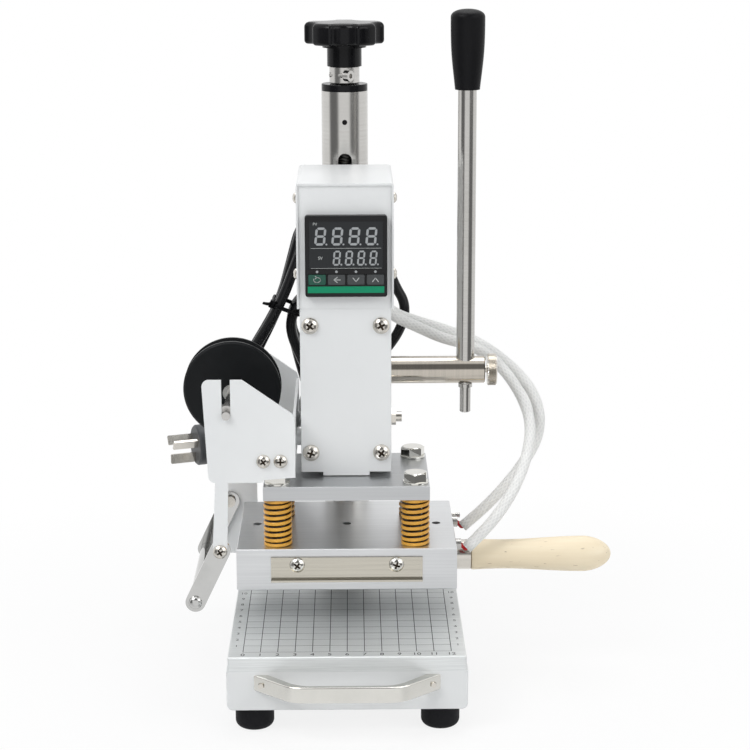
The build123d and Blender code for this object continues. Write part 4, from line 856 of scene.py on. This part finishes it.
def hexBolt():
    look = boltLook
    steps, shank, wide, edge, base = (look[k] for k in ("steps", "shank", "washer", "edge", "thick"))
    apothem = look["flats"] / 2
    crown = look["crown"] * apothem

    def hexRing(z, fall=0.0):
        ring = []
        for k in range(steps):
            a = 2 * pi * k / steps
            r = apothem / cos((a + pi / 6) % (pi / 3) - pi / 6)
            ring.append((r * cos(a), r * sin(a), z - max(0.0, r - crown) * fall))
        return ring

    top = base + look["head"]
    flat = [(x, y, top) for x, y in circle(crown, steps)]
    head = skin([hexRing(base), hexRing(top, look["fall"]), flat])
    washer = turned([(shank, 0.0), (wide - edge, 0.0), (wide, edge), (wide, base - edge),
                                   (wide - edge, base), (shank, base)], steps)
    return joined([head, washer, turned([(shank, -look["below"]), (shank, 0.1)], 32)])


# Copies one shape onto marked points: each has a direction, a size and its own turn
def placingTree():
    tree = bpy.data.node_groups.new("placeShapes", "GeometryNodeTree")
    for name, kind in (("Points", "NodeSocketGeometry"), ("Shape", "NodeSocketObject"),
                       ("Turn", "NodeSocketFloat"), ("Seed", "NodeSocketInt"), ("Finish", "NodeSocketMaterial")):
        tree.interface.new_socket(name, in_out="INPUT", socket_type=kind)
    tree.interface.new_socket("Shapes", in_out="OUTPUT", socket_type="NodeSocketGeometry")

    g = Graph(tree)
    points = g.node("NodeGroupInput", out="Points")
    facing = g.node("GeometryNodeInputNamedAttribute", {"data_type": "FLOAT_VECTOR"}, {"Name": "facing"})
    size = g.node("GeometryNodeInputNamedAttribute", {"data_type": "FLOAT"}, {"Name": "size"})
    shape = g.node("GeometryNodeObjectInfo", None, {"Object": points.other("Shape")}, out="Geometry")
    aim = g.node("FunctionNodeAlignRotationToVector", {"axis": "Z"}, {"Vector": facing})
    chance = g.node("FunctionNodeRandomValue", {"data_type": "FLOAT"},
                    {3: points.other("Turn"), "Seed": points.other("Seed")}, out=1)
    spin = g.node("FunctionNodeAxisAngleToRotation", None, {"Axis": (0, 0, 1), "Angle": chance})
    both = g.node("FunctionNodeRotateRotation", {"rotation_space": "LOCAL"}, {0: aim, 1: spin})
    cloud = g.node("GeometryNodeMeshToPoints", None, {"Mesh": points})
    copies = g.node("GeometryNodeInstanceOnPoints", None,
                    {"Points": cloud, "Instance": shape, "Rotation": both, "Scale": size})
    real = g.node("GeometryNodeRealizeInstances", None, {0: copies})
    painted = g.node("GeometryNodeSetMaterial", None, {0: real, "Material": points.other("Finish")})
    g.node("NodeGroupOutput", None, {0: painted})
    return tree


placeShapes = placingTree()


def placed(shape, places, finish, seed=3):
    points = meshOf([p[0] for p in places], [])
    points.attributes.new("facing", "FLOAT_VECTOR", "POINT")
    points.attributes.new("size", "FLOAT", "POINT")
    for k, (_, direction, wide) in enumerate(places):
        points.attributes["facing"].data[k].vector = direction
        points.attributes["size"].data[k].value = wide
    holder = linked("places", points)
    source = linked("screw", shape)
    modifier = holder.modifiers.new("placing", "NODES")
    modifier.node_group = placeShapes
    values = {"Shape": source, "Turn": 2 * pi, "Seed": seed, "Finish": materialOf[finish]}
    for item in placeShapes.interface.items_tree:
        if item.in_out == "INPUT" and item.name in values:
            modifier[item.identifier] = values[item.name]
    mesh = settled(holder)
    holder.modifiers.remove(modifier)
    bpy.data.objects.remove(holder)
    bpy.data.objects.remove(source)
    return mesh


# Every screw by its seat, the way it faces and its head's radius, and the pins that the links swing on
front, left, up = (0, -1, 0), (-1, 0, 0), (0, 0, 1)
unitScrew = crossScrew()
coverScrews = [((x, -14.5, z), front, 5.0) for x in (-21, 21) for z in (223.6, 145.9)]
plateScrews = [((x, -38.2, 147.4), front, 4.1) for x in (-48.7, -38.6)]
sideScrews = [((s * 28.5, -10, z), (s, 0, 0), 3.2) for s in (-1, 1) for z in (254, 299)]
webScrews = [((-31.5, y, 153), left, 4.1) for y in (-4, 38)]
keeperPlaces = [((x, -41.2, 84.4), front, 4.5) for x in (-29.4, 29.4)]
pinLook = {
    "x": -75.1, "z": 91.9, "head": (-38.2, 4.2),
    "pins": ((2.0, -38.2, -33.4), (3.6, -33.6, -31.6), (2.0, 64.0, 69.0), (3.6, 62.1, 64.1), (3.6, 69.0, 71.0)),
}
pivotScrew = [((pinLook["x"], pinLook["head"][0], pinLook["z"]), front, pinLook["head"][1])]
pivotPins = [turned([(radius, -y1), (radius, -y0)], 32) for radius, y0, y1 in pinLook["pins"]]
for pin in pivotPins:
    pin.transform(Matrix.Translation(metres((pinLook["x"], 0, pinLook["z"]))) @ Matrix.Rotation(pi / 2, 4, "X"))
headScrews = placed(unitScrew, coverScrews + plateScrews + sideScrews + webScrews + pivotScrew, "nickelPlate")
screws = addPiece("headScrews", joined([headScrews] + pivotPins), "head", "nickelPlate")
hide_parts("head_screws")
keeperScrews = placed(unitScrew, keeperPlaces, "chromePlate")
bolts = placed(hexBolt(), [((x, y, pressLook["boltSeat"]), up, 1.0) for x, y in boltAxes], "chromePlate", 11)
hangers = addPiece("hangerBolts", joined([keeperScrews, bolts]), "heater", "chromePlate")
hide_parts("hanger_bolts")
print("screws and bolts placed")


# The thumb screw: a disc with a diamond knurl between two chamfers, its faces slightly dished
thumbLook = {
    "radius": 9.8, "thick": 5.8, "x": 86.7, "y": 29.0, "z": 186.4, "diamonds": 40, "rows": 6, "cut": 0.5,
    "edge": 0.7, "dish": ((0.30, 0.0), (0.62, -0.25), (0.86, 0.0)), "shank": 2.0, "inner": 79.3,
}


def knurledScrew():
    look = thumbLook
    radius, thick, edge = look["radius"], look["thick"], look["edge"]
    steps, rows = 2 * look["diamonds"], 2 * look["rows"]
    rings = [[(radius * share, -rise)] * steps for share, rise in look["dish"]]
    rings.append([(radius - edge, 0.0)] * steps)
    for row in range(rows + 1):
        z = edge + (thick - 2 * edge) * row / rows
        rings.append([(radius - (look["cut"] if (k + row) % 2 else 0.0), z) for k in range(steps)])
    rings.append([(radius - edge, thick)] * steps)
    rings += [[(radius * share, thick + rise)] * steps for share, rise in reversed(look["dish"])]
    turns = circle(1.0, steps)
    disc = skin([[(look["x"] + z, look["y"] + r * c, look["z"] + r * s)
                               for (r, z), (c, s) in zip(ring, turns)] for ring in rings])
    shank = turned([(look["shank"], look["inner"]), (look["shank"], look["x"] + 0.5)], 24)
    along = Matrix.Translation(metres((0, look["y"], look["z"]))) @ Matrix.Rotation(pi / 2, 4, "Y")
    shank.transform(along)
    return joined([disc, shank])


thumb = addPiece("thumbScrew", knurledScrew(), "thumb", "nickelPlate")
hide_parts("thumb_screw")


# The table's printed grid and its numbers
gridLook = {
    "top": 47.0, "left": -60.0, "front": -86.0, "rear": 34.0, "step": 10.0, "count": 12, "wide": 0.4,
    "thin": 0.22, "ink": 0.03, "numberY": -90.2, "numberX": 64.3, "size": 5.2, "small": 0.8,
}


def tableGrid():
    look = gridLook
    wide, thin = look["wide"] / 2, look["thin"] / 2
    meshes = []
    for k in range(look["count"] + 1):
        x, y = look["left"] + k * look["step"], look["front"] + k * look["step"]
        for outline in (rectangle(x - wide, x + wide, look["front"], look["rear"]),
                        rectangle(look["left"], -look["left"], y - thin, y + thin)):
            meshes.append(topSlab(outline, look["top"], look["ink"]))
    return joined(meshes)


def gridNumbers():
    look = gridLook
    marks = []
    for k in range(look["count"] + 1):
        x, y = look["left"] + k * look["step"], look["front"] + k * look["step"]
        marks.append(lettering(str(k), look["size"], (x, look["numberY"], look["top"])))
        for side in (-1, 1) if k else ():
            place = (side * look["numberX"], y, look["top"])
            marks.append(lettering(str(k), look["size"] * look["small"], place))
    return joined(marks)


addPiece("tableGrid", tableGrid(), "worktable", "inkBlack")
addPiece("gridNumbers", gridNumbers(), "worktable", "inkBlack")
print("table printed")


# The controller's unlit digits, lamps, marks and band, all measured from its face's upper left corner;
# a row of digits is its start, pitch, depth, and each digit's width, height and stroke, and a slab is its
# plane, how far it stands proud and its thickness
faceLook = {
    "left": -23.4, "top": 289.8, "face": -20.0, "window": -19.7, "keys": -20.8, "slant": 0.10,
    "digits": ((5.4, 9.9, 6.8, 6.3, 10.6, 1.35), (16.0, 7.1, 20.5, 4.3, 8.8, 1.0)), "gap": 0.16,
    "dot": (0.9, 0.6, 0.55), "marks": (("PV", 2.3, 6.0, 4.9), ("SV", 2.6, 9.0, 25.0)), "rules": (19.1, 30.9),
    "ruleEnds": (3.4, 44.4), "rule": 0.09, "pitch": 11.35, "lamps": (7.0, 32.9), "lamp": 0.75,
    "band": (1.5, 46.2, 45.5, 41.6), "signs": (7.0, 37.6), "sign": 0.42,
    "slabs": {"digit": ("window", 0.04, 0.06), "rule": ("window", 0.03, 0.05), "lamp": ("face", 0.12, 0.2),
              "band": ("face", 0.04, 0.08), "sign": ("keys", 0.04, 0.07)},
}
upright = Matrix.Rotation(pi / 2, 4, "X")


def faceSlab(kind, outline):
    plane, proud, thick = faceLook["slabs"][kind]
    return frontSlab(outline, faceLook[plane] - proud, thick)


def facePlace(along, down):
    return faceLook["left"] + along, faceLook["top"] - down


def sevenSegments(x, top, width, height, stroke):
    look = faceLook
    w, half, gap = stroke / 2, height / 2, stroke * look["gap"]
    bars = []

    def bar(x0, z0, x1, z1):
        dx, dz = x1 - x0, z1 - z0
        size = sqrt(dx * dx + dz * dz)
        ux, uz = dx / size, dz / size
        a, b = (x0 + ux * gap, z0 + uz * gap), (x1 - ux * gap, z1 - uz * gap)
        outline = [a, (a[0] + (ux - uz) * w, a[1] + (uz + ux) * w),
                   (b[0] - (ux + uz) * w, b[1] + (ux - uz) * w), b,
                   (b[0] - (ux - uz) * w, b[1] - (uz + ux) * w), (a[0] + (ux + uz) * w, a[1] - (ux - uz) * w)]
        slanted = [(x + px + look["slant"] * (pz + height), top + pz) for px, pz in outline]
        bars.append(faceSlab("digit", slanted))

    for z in (-w, -half, w - height):
        bar(w, z, width - w, z)
    for px in (w, width - w):
        bar(px, -w, px, -half)
        bar(px, -half, px, w - height)
    right, above, radius = look["dot"]
    dot = [(x + width + right + c, top - height + above + s) for c, s in circle(radius, 12)]
    bars.append(faceSlab("digit", dot))
    return bars


def displayDigits():
    bars = []
    for k in range(4):
        for along, pitch, down, *shape in faceLook["digits"]:
            x, z = facePlace(along, down)
            bars += sevenSegments(x + pitch * k, z, *shape)
    return joined(bars)


def faceMarks():
    look = faceLook
    marks = []
    for text, size, along, down in look["marks"]:
        x, z = facePlace(along, down)
        marks.append(lettering(text, size, (x, look["window"], z), upright))
    for down in look["rules"]:
        (x0, z), (x1, _) = (facePlace(end, down) for end in look["ruleEnds"])
        marks.append(faceSlab("rule", rectangle(x0, x1, z - look["rule"], z + look["rule"])))
    return joined(marks)


def lampDots():
    x, z = facePlace(*faceLook["lamps"])
    rim = circle(faceLook["lamp"], 16)
    starts = [x + faceLook["pitch"] * k for k in range(4)]
    return joined([faceSlab("lamp", [(start + c, z + s) for c, s in rim]) for start in starts])


def greenBand():
    left, right, low, high = faceLook["band"]
    (x0, z0), (x1, z1) = facePlace(left, low), facePlace(right, high)
    return faceSlab("band", rectangle(x0, x1, z0, z1))


def stroke(points):
    wide = faceLook["sign"]
    meshes = []
    for (x0, z0), (x1, z1) in zip(points, points[1:]):
        dx, dz = x1 - x0, z1 - z0
        size = sqrt(dx * dx + dz * dz)
        ux, uz = dx / size * wide / 2, dz / size * wide / 2
        outline = [(x0 - ux - uz, z0 - uz + ux), (x0 - ux + uz, z0 - uz - ux),
                   (x1 + ux + uz, z1 + uz - ux), (x1 + ux - uz, z1 + uz + ux)]
        meshes.append(faceSlab("sign", outline))
    return meshes


keySigns = (
    ("keySetSign", "key_one", [[(2.0 * cos(radians(a)), 1.5 * sin(radians(a))) for a in range(-200, 101, 25)],
                               [(-0.9, 2.1), (-0.2, 1.45), (-0.9, 0.8)]]),
    ("keyShiftSign", "key_two", [[(0.4, 1.5), (-1.6, 0.0), (0.4, -1.5)], [(-1.6, 0.0), (2.2, 0.0)]]),
    ("keyDownSign", "key_three", [[(-1.7, 1.1), (0.0, -1.1), (1.7, 1.1)]]),
    ("keyUpSign", "key_four", [[(-1.7, -1.1), (0.0, 1.1), (1.7, -1.1)]]),
)
addPiece("displayDigits", displayDigits(), "head", "digitGrey")
addPiece("faceMarks", faceMarks(), "head", "markWhite")
addPiece("lampDots", lampDots(), "head", "digitGrey")
addPiece("greenBand", greenBand(), "head", "bandGreen")
for k, (name, body, lines) in enumerate(keySigns):
    middleX, middleZ = facePlace(*faceLook["signs"])
    middleX += faceLook["pitch"] * k
    meshes = []
    for line in lines:
        meshes += stroke([(middleX + x, middleZ + z) for x, z in line])
    addPiece(name, joined(meshes), body, "markWhite")
print("controller marked")


# Distances on the floor and lamps' sizes are in metres; a flag is a direction from which mirrored rays see dark
floorLook = {"half": 6.0, "colour": (0.86, 0.86, 0.86), "near": 0.12, "far": 0.42, "share": 0.84}
worldLook = {
    "light": (0.96, 0.98, 1.0), "strength": 0.42, "dim": 0.80,
    "flags": ((-0.84, -0.54, 0.0), (0.78, -0.62, 0.0), (0.0, -0.80, 0.60)), "flagEdges": (0.86, 0.96),
}
lampLooks = (
    {"name": "keyLamp", "place": (-900, -900, 1500), "aim": (0, 0, 180), "size": 0.9, "power": 15.0},
    {"name": "fillLamp", "place": (1300, -900, 900), "aim": (0, 0, 180), "size": 1.2, "power": 8.0},
    {"name": "topLamp", "place": (100, 500, 1700), "aim": (0, 0, 150), "size": 1.0, "power": 9.0},
)


# The rays that see the white background: straight ones, mirrored ones and those through glass
def seenRays(graph):
    camera = graph.node("ShaderNodeLightPath", None, None, "Is Camera Ray")
    return camera, camera.other("Is Glossy Ray") + camera.other("Is Transmission Ray")


# How far the dark flags fill a direction: they give turned metal its bands
def flagShade(graph, towards):
    low, high = worldLook["flagEdges"]
    dark = 0.0
    for flag in worldLook["flags"]:
        near = graph.node("ShaderNodeVectorMath", {"operation": "DOT_PRODUCT"}, {0: towards, 1: flag}, "Value")
        edges = {0: near, 1: low, 2: high}
        dark = graph.node("ShaderNodeMapRange", {"interpolation_type": "SMOOTHSTEP"}, edges) + dark
    return dark.math("MINIMUM", 1.0)


# White, or as dark as a flag where one fills the mirrored ray's direction
def seenWhite(graph, kind, flagged):
    white = graph.node(kind, None, {"Color": (1, 1, 1), "Strength": 1.0})
    black = graph.node(kind, None, {"Color": (1, 1, 1), "Strength": 1 - worldLook["dim"]})
    return graph.node("ShaderNodeMixShader", None, {0: flagged, 1: white, 2: black})


# The floor keeps its own shading near the object, for the shadow, and goes over to white away from it
def addFloor():
    look = floorLook
    half = look["half"] * 1000
    mesh = meshOf([(x, y, 0) for x, y in rectangle(-half, half, -half, half)], [(0, 1, 2, 3)])
    f = Finish("floorWhite", Roughness=0.9, Specular_IOR_Level=0.2)
    f.set("Base Color", look["colour"])
    reach = f.node("ShaderNodeVectorMath", {"operation": "LENGTH"}, {0: f.place()}, "Value")
    camera, mirrored = seenRays(f)
    share = f.spread(reach, look["share"], 1.0, look["near"], look["far"]) * (camera + mirrored)
    towards = f.node("ShaderNodeVectorMath", {"operation": "NORMALIZE"}, {0: f.place()}, "Vector")
    beyond = f.spread(reach, 0.0, 1.0, look["near"], look["far"])
    seen = seenWhite(f, "ShaderNodeEmission", mirrored * flagShade(f, towards) * beyond)
    mix = f.node("ShaderNodeMixShader", None, {0: share, 1: Field(f, f.shader.outputs[0]), 2: seen})
    f.feed(f.tree.nodes["Material Output"].inputs["Surface"], mix)
    mesh.materials.append(f.material)
    linked("floor", mesh)


# White for the camera and for mirrored rays, but for the flags; the plain room lights the object
def addWorld():
    look = worldLook
    world = bpy.data.worlds.new("studio")
    world.use_nodes = True
    world.node_tree.nodes.clear()
    w = Graph(world.node_tree)
    camera, mirrored = seenRays(w)
    towards = w.node("ShaderNodeTexCoord", None, None, "Generated")
    room = w.node("ShaderNodeBackground", None, {"Color": look["light"], "Strength": look["strength"]})
    seen = seenWhite(w, "ShaderNodeBackground", mirrored * flagShade(w, towards))
    mix = w.node("ShaderNodeMixShader", None, {0: camera + mirrored, 1: room, 2: seen})
    w.node("ShaderNodeOutputWorld", None, {"Surface": mix})
    bpy.context.scene.world = world


def addLamp(look):
    data = bpy.data.lights.new(look["name"], "AREA")
    data.size = look["size"]
    data.energy = look["power"]
    place = metres(look["place"])
    turn = (metres(look["aim"]) - place).to_track_quat("-Z", "Y").to_matrix().to_4x4()
    linked(look["name"], data).matrix_world = Matrix.Translation(place) @ turn


addFloor()
addWorld()
for look in lampLooks:
    addLamp(look)
bpy.context.scene.view_settings.view_transform = "Standard"
print("studio lit")
